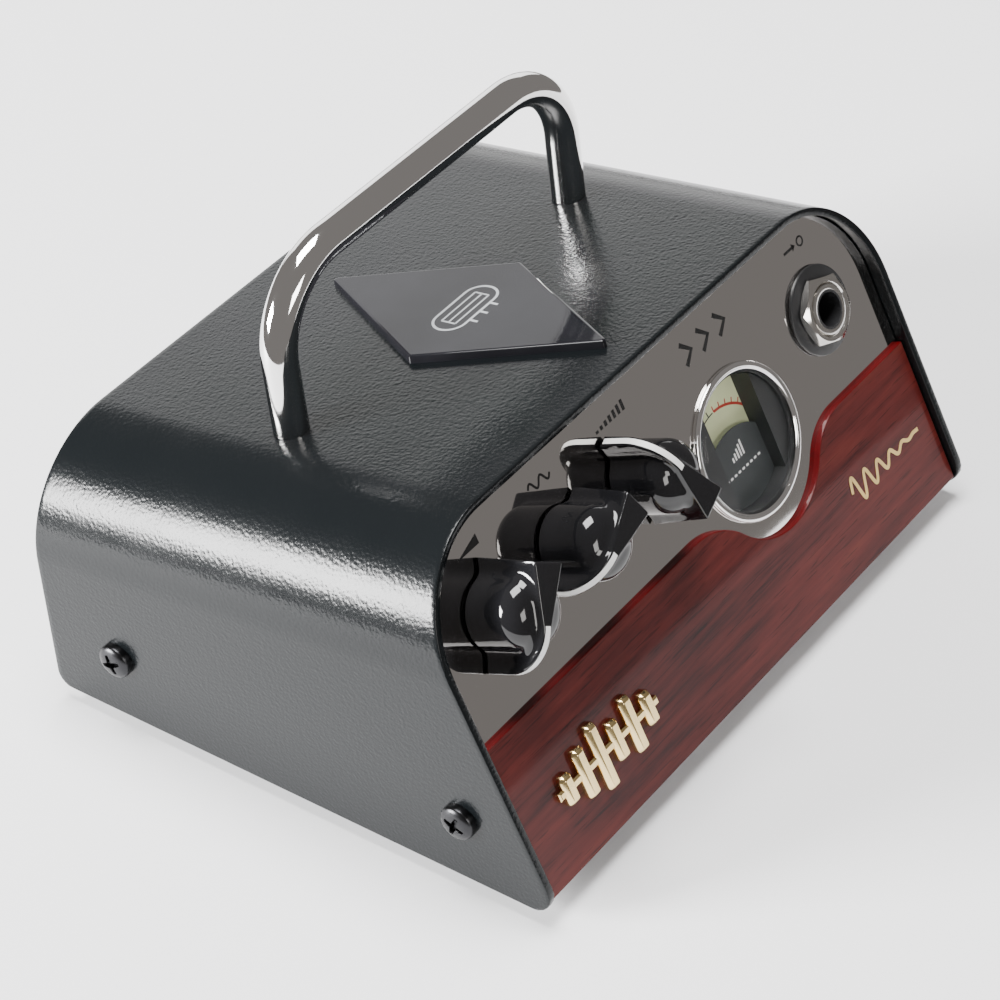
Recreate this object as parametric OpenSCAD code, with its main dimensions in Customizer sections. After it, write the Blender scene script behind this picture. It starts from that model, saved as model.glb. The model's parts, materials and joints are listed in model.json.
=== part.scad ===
// Small hybrid guitar amplifier head: a folded steel cover over a steel tray,
// a leaning polished front plate with three pointer knobs, an output meter and
// an input jack, a shaped wood panel, and a bent rod handle on the top.
// X runs left to right seen from the front, -Y is the front, +Z is up.
// The origin is under the middle of the whole object, where the feet stand.

/* [Case] */
// Width over the cover's side walls
case_w = 135; // [125:1:145]
// Depth of the cover along its bottom edge
case_depth = 111.2; // [105:0.1:120]
// Height of the cover's front top edge above its bottom edge
front_edge_h = 63.3; // [60:0.1:68]
// How far the front leans back from upright, in degrees
front_lean = 23.9; // [20:0.1:27]
// How far the top falls to the back, in degrees
top_slope = 8.65; // [6:0.05:10]
// Outer radius of the two long bends between the top and the sides
bend_r = 21.6; // [18:0.1:24]
// Thickness of the cover's sheet
sheet = 1.5; // [1.2:0.1:2]
// Radius of the lower corners of the side walls
foot_corner_r = 4; // [3:0.5:5]
// Height of the rubber feet under the cover's bottom edge
foot_h = 3; // [2:0.5:5]

/* [Front] */
// How far the front plate lies behind the cover's front edge
plate_recess = 2.7; // [2.4:0.1:3.5]
// Thickness of the wood panel
wood_t = 1.2; // [1.1:0.1:2]
// Height up the slope of the wood panel's long top edge
wood_top = 33; // [32:0.1:34]
// Height up the slope of the three knobs
knob_s = 50.8; // [49.5:0.1:51.5]
// Place across of the first knob
knob_x0 = -50.9; // [-51.5:0.1:-49.5]
// Distance from knob to knob
knob_pitch = 20.6; // [20.4:0.1:21]
// Place across of the meter
meter_x = 19; // [18:0.5:20.5]
// Height up the slope of the meter
meter_s = 40.1; // [39.5:0.1:41.5]
// Place across of the input jack
jack_x = 48.9; // [48:0.1:49.5]
// Height up the slope of the input jack
jack_s = 49.6; // [48.5:0.1:50.5]

/* [Knobs] */
// Height of a knob's pointer over the front plate
knob_h = 12.9; // [12.4:0.1:15]
// Length of the pointer from the knob's axis to its nose
nose_len = 10.2; // [9:0.1:10.3]
// Length of the pointer from the knob's axis to its tail
tail_len = 8.8; // [8:0.1:9]
// Radius of the round hub
hub_r = 6.5; // [6.4:0.1:7]
// Where the three pointers stand, in degrees clockwise from straight up
knob_angles = [214, 247, 338];

/* [Handle] */
// Half the distance between the two legs
handle_half = 41; // [36:0.5:43]
// Distance of the legs from the cover's front bottom edge
handle_y = 71.4; // [68:0.1:74]
// Diameter of the rod
rod_d = 6.5; // [6:0.1:8]
// Length of a leg from the cover to the middle of the bar
handle_rise = 29.2; // [25:0.1:35]
// Radius of the two bends, at the middle of the rod
handle_bend = 15.9; // [12:0.1:18]
// How far the legs lean back from upright, in degrees
handle_lean = 2.9; // [0:0.1:8]

/* [Moving parts] */
// Turn of a knob from stop to stop, in degrees
knob_travel = 300; // [280:10:300]
// Height of the rocker over its housing
rocker_rise = 1.9; // [1.5:0.1:2.5]

/* [Hidden] */
$fn = 64;

plate_t = 1.2;                        // front plate
metal_t = 1.2;                        // tray and rear panel
gap = 0.3;                            // clearance round plates inside the cover
plate_s0 = 3;                         // lower edge of the front plate, up the slope
wood_s0 = 3.3;                        // lower edge of the wood panel
tray_z = 1;                           // underside of the tray
rear_recess = 3;                      // rear panel behind the cover's back edge
back_y = case_depth - rear_recess;    // outer face of the rear panel
jack_reach = 4.4;                     // threaded ends over their panel
board_z = 8.2;                        // underside of the main board
board_t = 1.6;
screw_y = [19.6, 94.8];               // side screws, from the front
screw_z = 13.6;
screw_head_h = 2.3;

// The frontmost line of the cover is on the rounded lower corner of its side walls.
front_y = foot_corner_r * (1 + sin(front_lean)) / cos(front_lean) - foot_corner_r;
mid_y = (front_y + back_y + jack_reach) / 2;
top_y = front_edge_h * tan(front_lean);
inner_half = case_w / 2 - sheet;
wood_half = inner_half - 0.25;
emblem_y = 64.4;                      // middle of the emblem plate
emblem_half = [15.8, 29.9];           // half its width and half its length
rest_angle = [for (a = knob_angles) 90 - a];
thread_r = 3.5;                       // potentiometer bushes
shaft_r = 3;
bore_play = 0.05;

// ---- places -------------------------------------------------------------

// The row frame: up on the feet, and centred front to back.
module place() {
    translate([0, -mid_y, foot_h]) children();
}

// Front-plate coordinates: x across, y up the slope, z outwards from the plate.
module on_front(x, s, z = 0) {
    place()
    rotate([90 - front_lean, 0, 0])
    translate([x, s, z - plate_recess])
        children();
}

// Rear-panel coordinates: x to the left seen from the front, y up, z outwards.
module on_rear(x, z_up, out = 0) {
    place()
    translate([x, back_y + out, z_up])
    rotate([-90, 180, 0])
        children();
}

function top_z(y) = front_edge_h - (y - top_y) * tan(top_slope);

// Top coordinates: z along the normal of the sloping top, 0 on its outer face.
module on_top(x, y, z = 0) {
    place()
    translate([x, y, top_z(y)])
    rotate([-top_slope, 0, 0])
    translate([0, 0, z])
        children();
}

// ---- the cover's shape ----------------------------------------------------

// An upside-down U with round shoulders, inset by d from the outer face.
module u_profile(d) {
    half = case_w / 2 - d;
    r = bend_r - d;
    translate([-half, -120]) square([2 * half, 120 - bend_r]);
    translate([-half + r, -120]) square([2 * (half - r), 120 - d]);
    for (side = [-1, 1])
        translate([side * (half - r), -bend_r]) circle(r, $fn = 96);
}

// The U carried along the sloping top, far past the front and the back.
module u_block(d) {
    translate([0, top_y, front_edge_h])
    rotate([-top_slope, 0, 0])
    translate([0, 160, 0])
    rotate([90, 0, 0])
    linear_extrude(height = 260)
        u_profile(d);
}

function arc(cx, cy, r, a0, a1, n) =
    [for (i = [0:n]) [cx + r * cos(a0 + (a1 - a0) * i / n), cy + r * sin(a0 + (a1 - a0) * i / n)]];

// The side view: a front that leans back, an upright back and round lower corners.
module side_view() {
    front_r = foot_corner_r;
    back_r = 3;
    front_c = front_r * (1 + sin(front_lean)) / cos(front_lean);
    lean_top = 80;
    polygon(concat(
        arc(front_c, front_r, front_r, 180 - front_lean, 270, 10),
        arc(case_depth - back_r, back_r, back_r, -90, 0, 8),
        [[case_depth, lean_top], [lean_top * tan(front_lean), lean_top]]));
}

module side_block() {
    translate([case_w, 0, 0])
    rotate([90, 0, -90])
    mirror([1, 0, 0])
    linear_extrude(height = 2 * case_w)
        side_view();
}

// ---- fasteners ------------------------------------------------------------

// Pan-head screw: the head's underside at z = 0, the shank along -z.
module pan_screw(head_r, head_h, shank_r, shank_len) {
    difference() {
        union() {
            cylinder(r = head_r, h = head_h * 0.55);
            translate([0, 0, head_h * 0.55])
                cylinder(r1 = head_r, r2 = head_r * 0.72, h = head_h * 0.45);
            translate([0, 0, -shank_len]) cylinder(r = shank_r, h = shank_len + 0.1);
        }
        for (a = [0, 90])
            rotate(a)
            translate([-head_r * 0.55, -head_r * 0.13, head_h * 0.4])
                cube([head_r * 1.1, head_r * 0.26, head_h]);
    }
}

module hex_nut(across_flats, h, hole_r) {
    difference() {
        cylinder(r = across_flats / sqrt(3), h = h, $fn = 6);
        translate([0, 0, -1]) cylinder(r = hole_r, h = h + 2);
    }
}

module ring(r_out, r_in, h) {
    difference() {
        cylinder(r = r_out, h = h);
        translate([0, 0, -1]) cylinder(r = r_in, h = h + 2);
    }
}

// ---- the case ---------------------------------------------------------------

// Handle coordinates: z along the legs, which lean back, 0 where they meet the top.
module at_handle() {
    place()
    translate([0, handle_y, top_z(handle_y)])
    rotate([-handle_lean, 0, 0])
        children();
}

module top_cover() {
    color([0.16, 0.17, 0.18])
    difference() {
        place() difference() {
            intersection() {
                u_block(0);
                side_block();
            }
            u_block(sheet);
        }
        for (side = [-1, 1]) {
            on_top(side * handle_half, handle_y, -4) cylinder(r = 1.7, h = 8);
            for (y = screw_y)
                place() translate([side * (case_w / 2 - 4), y, screw_z])
                rotate([0, side * 90, 0]) cylinder(r = 1.7, h = 6);
        }
    }
}

tray_half = inner_half - 0.1;
tray_y0 = 5.5;                        // the tray begins just behind the front plate
tray_back = back_y - metal_t;
flange_top = tray_z + 20;

module chassis_tray() {
    color([0.45, 0.46, 0.48])
    difference() {
        union() {
            place() translate([-tray_half, tray_y0, tray_z])
                cube([2 * tray_half, tray_back - tray_y0, metal_t]);
            for (side = [-1, 1])
                place() translate([side * (tray_half - metal_t / 2) - metal_t / 2, 0, 0])
                rotate([90, 0, 90]) linear_extrude(height = metal_t)
                    polygon([[tray_y0 + 1, tray_z], [tray_back, tray_z],
                        [tray_back, flange_top], [17.2, flange_top]]);
            on_front(-tray_half + 4, 4, -plate_t - metal_t)
                cube([2 * tray_half - 8, 6.9, metal_t]);
            place() translate([-tray_half + 2, tray_back - metal_t, tray_z])
                cube([2 * tray_half - 4, metal_t, 9]);
        }
        for (side = [-1, 1], y = screw_y)
            place() translate([side * (case_w / 2 - 6), y, screw_z])
            rotate([0, side * 90, 0]) cylinder(r = 1.5, h = 8);
        for (x = foot_x, y = foot_y)
            place() translate([x, y, -1]) cylinder(r = 1.6, h = 6);
        for (p = standoff_at)
            place() translate([p[0], p[1], -1]) cylinder(r = 2.15, h = 6);
        for (x = rear_screw_x) on_rear(x, rear_screw_z, -6) cylinder(r = 1.55, h = 8);
        for (i = [0:7])
            place() translate([-28 + 8 * i - 1.25, 48, 0]) cube([2.5, 22, 6]);
    }
}

rear_screw_x = [-60, 60];
rear_screw_z = 6;
rear_jacks = [["speaker", -46], ["headphone", -25]];
rear_jack_z = 22;
dc_x = 50;
dc_z = 20;
rocker_x = 26;
rocker_z = 22;
switch_x = [-6, 7, 0.5];
switch_z = [15, 15, 33];

module rear_panel() {
    color([0.13, 0.13, 0.14])
    difference() {
        place() intersection() {
            translate([-80, back_y - metal_t, tray_z]) cube([160, metal_t, 60]);
            u_block(sheet + gap);
        }
        for (j = rear_jacks) on_rear(j[1], rear_jack_z, -5) cylinder(r = 4.7, h = 8);
        on_rear(dc_x, dc_z, -5) cylinder(r = 4.3, h = 8);
        place() translate([rocker_x - 6.3, back_y - 5, rocker_z - 9.7]) cube([12.6, 8, 19.4]);
        for (i = [0:2])
            place() translate([switch_x[i] - 3.4, back_y - 5, switch_z[i] - 1.7])
                cube([6.8, 8, 3.4]);
        for (x = rear_screw_x) on_rear(x, rear_screw_z, -5) cylinder(r = 1.7, h = 8);
        for (i = [0:8])
            place() translate([-32 + 8 * i - 1, back_y - 5, 39.5]) cube([2, 8, 5]);
    }
}

module rear_screws() {
    color([0.1, 0.1, 0.1])
    for (x = rear_screw_x) on_rear(x, rear_screw_z) pan_screw(2.8, 1.8, 1.5, 6);
}

// ---- front plate and wood ----------------------------------------------------

knob_x = [for (i = [0:2]) knob_x0 + i * knob_pitch];
wood_pin_x = [-52, -18, 54];
wood_pin_s = 14;

module front_panel() {
    color([0.75, 0.73, 0.7])
    difference() {
        intersection() {
            on_front(0, 0, -plate_t) translate([-80, plate_s0, 0]) cube([160, 80, plate_t]);
            place() u_block(sheet + gap);
        }
        for (x = knob_x) on_front(x, knob_s, -3) cylinder(r = thread_r + 0.1, h = 6);
        on_front(meter_x, meter_s, -3) cylinder(r = 13.3, h = 6);
        on_front(jack_x, jack_s, -3) cylinder(r = 4.7, h = 6);
        for (x = wood_pin_x) on_front(x, wood_pin_s, -3) cylinder(r = 1.7, h = 6);
    }
}

dip_x = 20.9;                         // middle of the hollow under the meter
dip_s = 21.4;                         // its lowest point
dip_r = 15.7;                         // radius of the hollow
crest_r = [15.5, 12.6];               // radius of the left and the right crest

// Half of the wood's top edge, from the bottom of the hollow outwards to the flat.
// side is -1 or 1: a hollow arc and a crest arc that touch where both are steepest.
function half_edge(side) =
    let (r = crest_r[side < 0 ? 0 : 1],
         turn = acos(1 - (wood_top - dip_s) / (dip_r + r)),
         hollow = arc(0, dip_s + dip_r, dip_r, -90, -90 + turn, 10),
         crest = arc((dip_r + r) * sin(turn), wood_top - r, r, 90 + turn, 90, 10))
    [for (p = concat(hollow, [for (i = [1:10]) crest[i]])) [dip_x + side * p[0], p[1]]];

function reversed(v) = [for (i = [len(v) - 1:-1:0]) v[i]];

module wood_panel() {
    edge = concat(reversed(half_edge(-1)), half_edge(1));
    color([0.42, 0.13, 0.11])
    difference() {
        on_front(0, 0) linear_extrude(height = wood_t)
            polygon(concat([[wood_half, wood_s0], [-wood_half, wood_s0],
                [-wood_half, wood_top]], edge, [[wood_half, wood_top]]));
        for (x = wood_pin_x) on_front(x, wood_pin_s, -1) cylinder(r = 1.1, h = 1.95);
    }
}

// Pins with flat heads, pushed through the plate into the back of the glued wood.
module wood_pins() {
    color([0.6, 0.6, 0.62])
    for (x = wood_pin_x)
        on_front(x, wood_pin_s, -plate_t - 0.8) {
            cylinder(r = 2.4, h = 0.8);
            cylinder(r = 1.1, h = 0.8 + plate_t + 0.9);
        }
}

badge_x = -41.5;
badge_s = 16.9;
badge_bars = [0.45, 0.75, 1, 0.6, 0.85, 0.5];

// A row of raised bars of different heights on a thin rail.
module badge() {
    bar_w = 3;
    bar_step = 4.7;
    color([0.83, 0.7, 0.4]) {
        on_front(badge_x, badge_s, wood_t)
        translate([-14.5, -0.8, 0]) cube([29, 1.6, 1]);
        for (i = [0:5])
            on_front(badge_x + (i - 2.5) * bar_step, badge_s, wood_t)
            translate([-bar_w / 2, -6.5 * badge_bars[i], 0])
                cube([bar_w, 13 * badge_bars[i], 1.6]);
    }
}

module emblem_plate() {
    w = emblem_half[0];
    l = emblem_half[1];
    color([0.05, 0.05, 0.06])
    on_top(0, emblem_y)
    linear_extrude(height = 1.5)
        polygon([[0, -l], [w, 0], [0, l], [-w, 0]]);
}

// ---- handle -------------------------------------------------------------------

module handle() {
    leg = handle_rise - handle_bend;
    bar = handle_half - handle_bend;
    color([0.8, 0.8, 0.8])
    difference() {
        at_handle() {
            for (side = [-1, 1]) {
                translate([side * handle_half, 0, -1]) cylinder(d = rod_d, h = leg + 1);
                translate([side * bar, 0, leg])
                rotate([90, 0, 0])
                rotate(side > 0 ? 0 : 90)
                rotate_extrude(angle = 90, $fn = 96)
                    translate([handle_bend, 0]) circle(d = rod_d, $fn = 48);
            }
            translate([-bar, 0, handle_rise]) rotate([0, 90, 0]) cylinder(d = rod_d, h = 2 * bar);
        }
        for (side = [-1, 1]) on_top(side * handle_half, handle_y, -1) cylinder(r = 1.25, h = 9);
        on_top(0, handle_y) translate([-60, -10, -10]) cube([120, 20, 10]);
    }
}

module handle_screws() {
    color([0.6, 0.6, 0.62])
    for (side = [-1, 1])
        on_top(side * handle_half, handle_y, -sheet)
        rotate([180, 0, 0]) pan_screw(3, 2, 1.2, 8);
}

module cover_screws() {
    color([0.12, 0.12, 0.12])
    for (side = [-1, 1], y = screw_y)
        place()
        translate([side * case_w / 2, y, screw_z])
        rotate([0, side * 90, 0])
            pan_screw(3.3, screw_head_h, 1.45, 6);
}

foot_x = [-56, 56];
foot_y = [16, 96];
foot_r = 5.5;

module rubber_feet() {
    color([0.06, 0.06, 0.06])
    for (x = foot_x, y = foot_y)
        place() translate([x, y, -foot_h])
        difference() {
            union() {
                cylinder(r1 = foot_r - 0.7, r2 = foot_r, h = 1);
                translate([0, 0, 1]) cylinder(r = foot_r, h = foot_h + tray_z - 1);
            }
            translate([0, 0, -1]) cylinder(r = 3, h = 2.6);
            cylinder(r = 1.6, h = 8);
        }
}

module feet_screws() {
    color([0.6, 0.6, 0.62])
    for (x = foot_x, y = foot_y)
        place() translate([x, y, 1.6 - foot_h]) rotate([180, 0, 0])
        pan_screw(2.6, 1, 1.5, foot_h + 1);
}

// ---- knobs and potentiometers ----------------------------------------------------

// A pointer knob, its nose along +x before it is turned to its rest angle.
module knob(i) {
    ridge_r = 7.6;                    // round ridge between the top and the nose
    base = 0.6;                       // gap between the knob and the plate
    dome_z = 7.6;
    dome_r = 4.2;
    top_end = -8.1;
    color([0.03, 0.03, 0.03])
    on_front(knob_x[i], knob_s)
    rotate(rest_angle[i])
    difference() {
        union() {
            rotate_extrude()
                polygon(concat([[0, base], [hub_r, base]],
                    arc(hub_r - dome_r, dome_z, dome_r, 0, 90, 8), [[0, dome_z + dome_r]]));
            intersection() {
                rotate([90, 0, 0]) translate([0, 0, -10]) linear_extrude(height = 20)
                    polygon(concat([[-tail_len, base], [nose_len, base]],
                        arc(nose_len - ridge_r, knob_h - ridge_r, ridge_r, 0, 90, 12),
                        [[top_end, knob_h]]));
                linear_extrude(height = 20)
                    polygon([[nose_len, -0.7], [nose_len, 0.7], [-tail_len, 3.4], [-tail_len, -3.4]]);
            }
        }
        cylinder(r = 5.7, h = 3.7);
        cylinder(r = shaft_r + 0.02, h = 10.6);
    }
}

module gain_knob() { knob(0); }
module tone_knob() { knob(1); }
module volume_knob() { knob(2); }

module shaft(i) {
    color([0.7, 0.7, 0.72])
    on_front(knob_x[i], knob_s)
    rotate(rest_angle[i])
    union() {
        difference() {
            translate([0, 0, -5]) cylinder(r = shaft_r, h = 15.4);
            translate([1.6, -5, 3.9]) cube([5, 10, 8]);
        }
        translate([0, 0, -6]) cylinder(r = 4.4, h = 1);
    }
}

module gain_shaft() { shaft(0); }
module tone_shaft() { shaft(1); }
module volume_shaft() { shaft(2); }

module pot_bodies() {
    color([0.2, 0.4, 0.25])
    for (x = knob_x)
        on_front(x, knob_s)
        difference() {
            union() {
                translate([-5.5, -6, -9]) cube([11, 12, 9 - plate_t]);
                translate([0, 0, -plate_t]) cylinder(r = thread_r, h = plate_t + 3.2);
            }
            translate([0, 0, -4.7]) cylinder(r = shaft_r + bore_play, h = 12);
            translate([0, 0, -6.4]) cylinder(r = 4.8, h = 1.9);
        }
}

module pot_washers() {
    color([0.75, 0.75, 0.75])
    for (x = knob_x) on_front(x, knob_s) ring(5.2, thread_r + 0.05, 0.4);
}

module pot_nuts() {
    color([0.75, 0.75, 0.75])
    for (x = knob_x) on_front(x, knob_s, 0.4) hex_nut(9, 1.8, thread_r + 0.05);
}

// ---- meter -----------------------------------------------------------------------

meter_r = 14.4;
lens_r = 13.2;
dial_z = -4.7;                        // face of the dial against the front plate
housing_depth = 13;
pivot_dy = -5.2;                      // needle pivot under the meter's middle

module meter_bezel() {
    color([0.85, 0.85, 0.85])
    on_front(meter_x, meter_s)
    rotate_extrude($fn = 96)
        polygon([[lens_r + 0.1, 0.8], [lens_r + 0.1, 0], [meter_r - 0.1, 0], [meter_r, 0.3],
            [meter_r - 0.3, 0.9], [meter_r - 0.7, 1.1], [lens_r - 0.3, 1.1], [lens_r - 0.3, 0.8]]);
}

module meter_lens() {
    color([0.8, 0.85, 0.85, 0.4])
    on_front(meter_x, meter_s, 0.1) {
        cylinder(r = lens_r, h = 0.6, $fn = 96);
        translate([0, 0, 0.5]) cylinder(r1 = lens_r - 0.8, r2 = 10.4, h = 1, $fn = 96);
    }
}

module meter_dial() {
    color([0.85, 0.86, 0.7])
    on_front(meter_x, meter_s, dial_z - 0.5)
    difference() {
        cylinder(r = 12.3, h = 0.5);
        translate([0, pivot_dy, -1]) cylinder(r = 1.6, h = 3);
    }
}

module meter_mask() {
    color([0.16, 0.17, 0.18])
    on_front(meter_x, meter_s, dial_z + 1.2)
    intersection() {
        cylinder(r = 12.3, h = 0.3);
        translate([0, -4, 0]) cylinder(r = 10.8, h = 0.3);
    }
}

needle_rest = 45;                     // degrees left of straight up

module meter_needle() {
    color([0.05, 0.05, 0.05])
    on_front(meter_x, meter_s + pivot_dy, dial_z + 0.7)
    rotate(needle_rest)
    union() {
        translate([-0.25, -3, 0]) cube([0.5, 16.5, 0.3]);
        cylinder(r = 1.2, h = 0.3);
        translate([0, 0, coil_z + coil_h - dial_z - 0.7])
            cylinder(r = 0.5, h = dial_z + 0.8 - coil_z - coil_h);
    }
}

coil_z = 1.6 - housing_depth;
coil_h = 5.2;

module meter_coil() {
    color([0.7, 0.4, 0.2])
    on_front(meter_x, meter_s + pivot_dy, coil_z)
    rotate(needle_rest)
    difference() {
        translate([-3.4, -1.2, 0]) cube([6.8, 2.4, coil_h]);
        translate([-2.6, -2, 0.8]) cube([5.2, 4, coil_h - 1.6]);
    }
}

module meter_magnet() {
    color([0.4, 0.4, 0.42])
    on_front(meter_x, meter_s + pivot_dy, 1.2 - housing_depth)
    difference() {
        intersection() {
            cylinder(r = 6.6, h = 5.8);
            translate([-7, -4.4, 0]) cube([14, 8.8, 6]);
        }
        translate([0, 0, -1]) cylinder(r = 4, h = 8);
    }
}

module meter_housing() {
    color([0.1, 0.1, 0.1])
    on_front(meter_x, meter_s)
    difference() {
        translate([0, 0, -housing_depth]) cylinder(r = 13.2, h = housing_depth, $fn = 96);
        translate([0, 0, 1.2 - housing_depth]) cylinder(r = 12.35, h = housing_depth, $fn = 96);
    }
}

// ---- jacks and rear fittings -----------------------------------------------------

jack_bore_r = 3.2;
jack_len = 22;

// A 6.35 mm jack: a box behind the panel and a threaded nose through it.
module jack_body(thickness, reach) {
    difference() {
        union() {
            translate([-8, -8, -jack_len]) cube([16, 16, jack_len - thickness]);
            translate([0, 0, -thickness]) cylinder(r = 4.6, h = thickness + reach);
        }
        translate([0, 0, -jack_len + 1.5]) cylinder(r = jack_bore_r, h = 40);
    }
}

module input_jack() {
    color([0.08, 0.08, 0.08])
    on_front(jack_x, jack_s) jack_body(plate_t, 2.9);
}

// Solder lugs standing out of a jack's back end.
module lugs() {
    for (x = [-5, 0, 5]) translate([x - 1, -0.25, -jack_len - 4]) cube([2, 0.5, 4]);
}

module jack_terminals() {
    color([0.75, 0.7, 0.6]) {
        on_front(jack_x, jack_s) lugs();
        for (j = rear_jacks) on_rear(j[1], rear_jack_z) lugs();
    }
}

module input_jack_washer() {
    color([0.05, 0.05, 0.05])
    on_front(jack_x, jack_s) ring(8.4, 4.7, 0.9);
}

module input_jack_nut() {
    color([0.8, 0.8, 0.8])
    on_front(jack_x, jack_s, 0.9) hex_nut(12, 2, 4.65);
}

module speaker_jack() {
    color([0.08, 0.08, 0.08])
    on_rear(rear_jacks[0][1], rear_jack_z) jack_body(metal_t, jack_reach);
}

module headphone_jack() {
    color([0.08, 0.08, 0.08])
    on_rear(rear_jacks[1][1], rear_jack_z) jack_body(metal_t, jack_reach);
}

module rear_jack_washers() {
    color([0.7, 0.7, 0.7])
    for (j = rear_jacks) on_rear(j[1], rear_jack_z) ring(7.2, 4.7, 0.8);
}

module rear_jack_nuts() {
    color([0.8, 0.8, 0.8])
    for (j = rear_jacks) on_rear(j[1], rear_jack_z, 0.8) hex_nut(12, 2.4, 4.65);
}

module dc_inlet() {
    color([0.08, 0.08, 0.08])
    on_rear(dc_x, dc_z)
    difference() {
        union() {
            translate([-5.5, -5.5, -12]) cube([11, 11, 12 - metal_t]);
            translate([0, 0, -metal_t]) cylinder(r = 4.2, h = metal_t);
            cylinder(r = 5.4, h = 1.2);
        }
        translate([0, 0, -8.5]) difference() {
            cylinder(r = 2.8, h = 12);
            cylinder(r = 1.05, h = 12);
        }
    }
}

rocker_tilt = 10;

module power_switch_housing() {
    color([0.07, 0.07, 0.07])
    difference() {
        union() {
            place() translate([rocker_x - 6.2, back_y - 15, rocker_z - 9.6]) cube([12.4, 15, 19.2]);
            place() translate([rocker_x - 7.5, back_y, rocker_z - 10.5]) cube([15, 1.6, 21]);
        }
        place() translate([rocker_x - 5.2, back_y - 7, rocker_z - 8.4]) cube([10.4, 10, 16.8]);
        place() translate([rocker_x - 8, back_y - 3.4, rocker_z]) rotate([0, 90, 0])
            cylinder(r = 1.05, h = 16);
    }
}

// The rocker turns on two short pins in the housing's side walls.
module power_rocker() {
    color([0.1, 0.1, 0.1])
    place()
    translate([rocker_x, back_y - 3.4, rocker_z])
    rotate([rocker_tilt, 0, 0])
    union() {
        rotate([0, 90, 0]) translate([0, 0, -4.9]) linear_extrude(height = 9.8)
            polygon([[-7.2, 3.3 + rocker_rise], [0, 2 + rocker_rise], [7.2, 3.3 + rocker_rise],
                [6, -1.6], [-6, -1.6]]);
        translate([-5.9, 0, 0]) rotate([0, 90, 0]) cylinder(r = 1, h = 11.8);
    }
}

slider_travel = 1.4;                  // to each side of its middle

module switch_bodies() {
    color([0.6, 0.6, 0.62])
    for (i = [0:2])
        place()
        translate([switch_x[i], back_y - metal_t, switch_z[i]])
        difference() {
            translate([-5.5, -6, -2.6]) cube([11, 6, 5.2]);
            translate([-3.4, -3.2, -1.7]) cube([6.8, 4, 3.4]);
        }
}

module slider(i) {
    color([0.05, 0.05, 0.05])
    place()
    translate([switch_x[i] - slider_travel, back_y - metal_t - 3, switch_z[i]]) {
        translate([-1.9, 0, -1.5]) cube([3.8, 2.2, 3]);
        translate([-1, 2, -1.2]) cube([2, 4.4, 2.4]);
    }
}

module impedance_slider() { slider(0); }
module tone_slider() { slider(1); }
module level_slider() { slider(2); }

// ---- electronics ------------------------------------------------------------------

standoff_at = [[-55, 36], [55, 36], [-55, 84], [55, 84]];

module standoffs() {
    color([0.8, 0.75, 0.5])
    for (p = standoff_at)
        place() translate([p[0], p[1], tray_z + metal_t])
        difference() {
            union() {
                cylinder(r = 2.8, h = board_z - tray_z - metal_t, $fn = 6);
                translate([0, 0, -metal_t]) cylinder(r = 2.1, h = metal_t + 0.5);
            }
            translate([0, 0, -2]) cylinder(r = 1.45, h = 12);
        }
}

module board_screws() {
    color([0.75, 0.75, 0.75])
    for (p = standoff_at)
        place() translate([p[0], p[1], board_z + board_t]) pan_screw(2.6, 1.6, 1.4, 4);
}

module main_board() {
    color([0.1, 0.3, 0.16])
    place()
    difference() {
        translate([-60, 24, board_z]) cube([120, 66, board_t]);
        for (p = standoff_at) translate([p[0], p[1], 0]) cylinder(r = 1.6, h = 20);
    }
}

// Behind the potentiometers, parallel to the front plate.
module front_board() {
    color([0.1, 0.3, 0.16])
    on_front(knob_x[1], knob_s, -10.7)
    translate([-27, -12, 0]) cube([54, 20, board_t]);
}

// A flat cable hangs from the front board and drops to the main board.
module ribbon_cable() {
    color([0.75, 0.75, 0.78])
    place()
    translate([knob_x[1] - 9, 0, 0])
    rotate([90, 0, 90])
    linear_extrude(height = 18)
        polygon([[ribbon_y, board_z + board_t], [ribbon_y, 26.6], [ribbon_y - 4.4, 33.3],
            [ribbon_y - 3.7, 34], [ribbon_y + 1, 26.8], [ribbon_y + 1, board_z + board_t]]);
}
ribbon_y = 34;

module heat_sink() {
    color([0.3, 0.3, 0.32])
    place() translate([29, 52, board_z + board_t + 2.6]) {
        cube([30, 26, 2.5]);
        for (i = [0:7]) translate([i * 4.1, 0, 2.4]) cube([1.3, 26, 12]);
    }
}

module power_chips() {
    color([0.06, 0.06, 0.07])
    place() for (x = [31, 46])
        translate([x, 58, board_z + board_t]) cube([11, 14, 2.6]);
}

tube_at = [0, 62, 44.5];              // middle of the flat vacuum tube under the emblem

module at_tube() {
    place() translate(tube_at) rotate([-top_slope, 0, 0]) children();
}

// Flat glass envelope of a fluorescent twin triode, hollow inside.
module tube_glass() {
    color([0.75, 0.8, 0.8, 0.35])
    at_tube()
    difference() {
        translate([-22.5, -8.5, -2.2]) cube([45, 17, 4.4]);
        translate([-21.3, -7.3, -1.2]) cube([42.6, 14.6, 2.4]);
    }
}

module tube_electrodes() {
    color([0.5, 0.55, 0.5])
    at_tube()
    for (x = [-11, 11]) {
        translate([x - 6, -4.5, -1]) cube([12, 9, 0.4]);
        translate([x - 7, -5.5, -0.2]) cube([14, 11, 0.25]);
        for (y = [-3, 3]) translate([x - 8, y - 0.1, 0.5]) cube([16, 0.2, 0.2]);
    }
}

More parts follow.
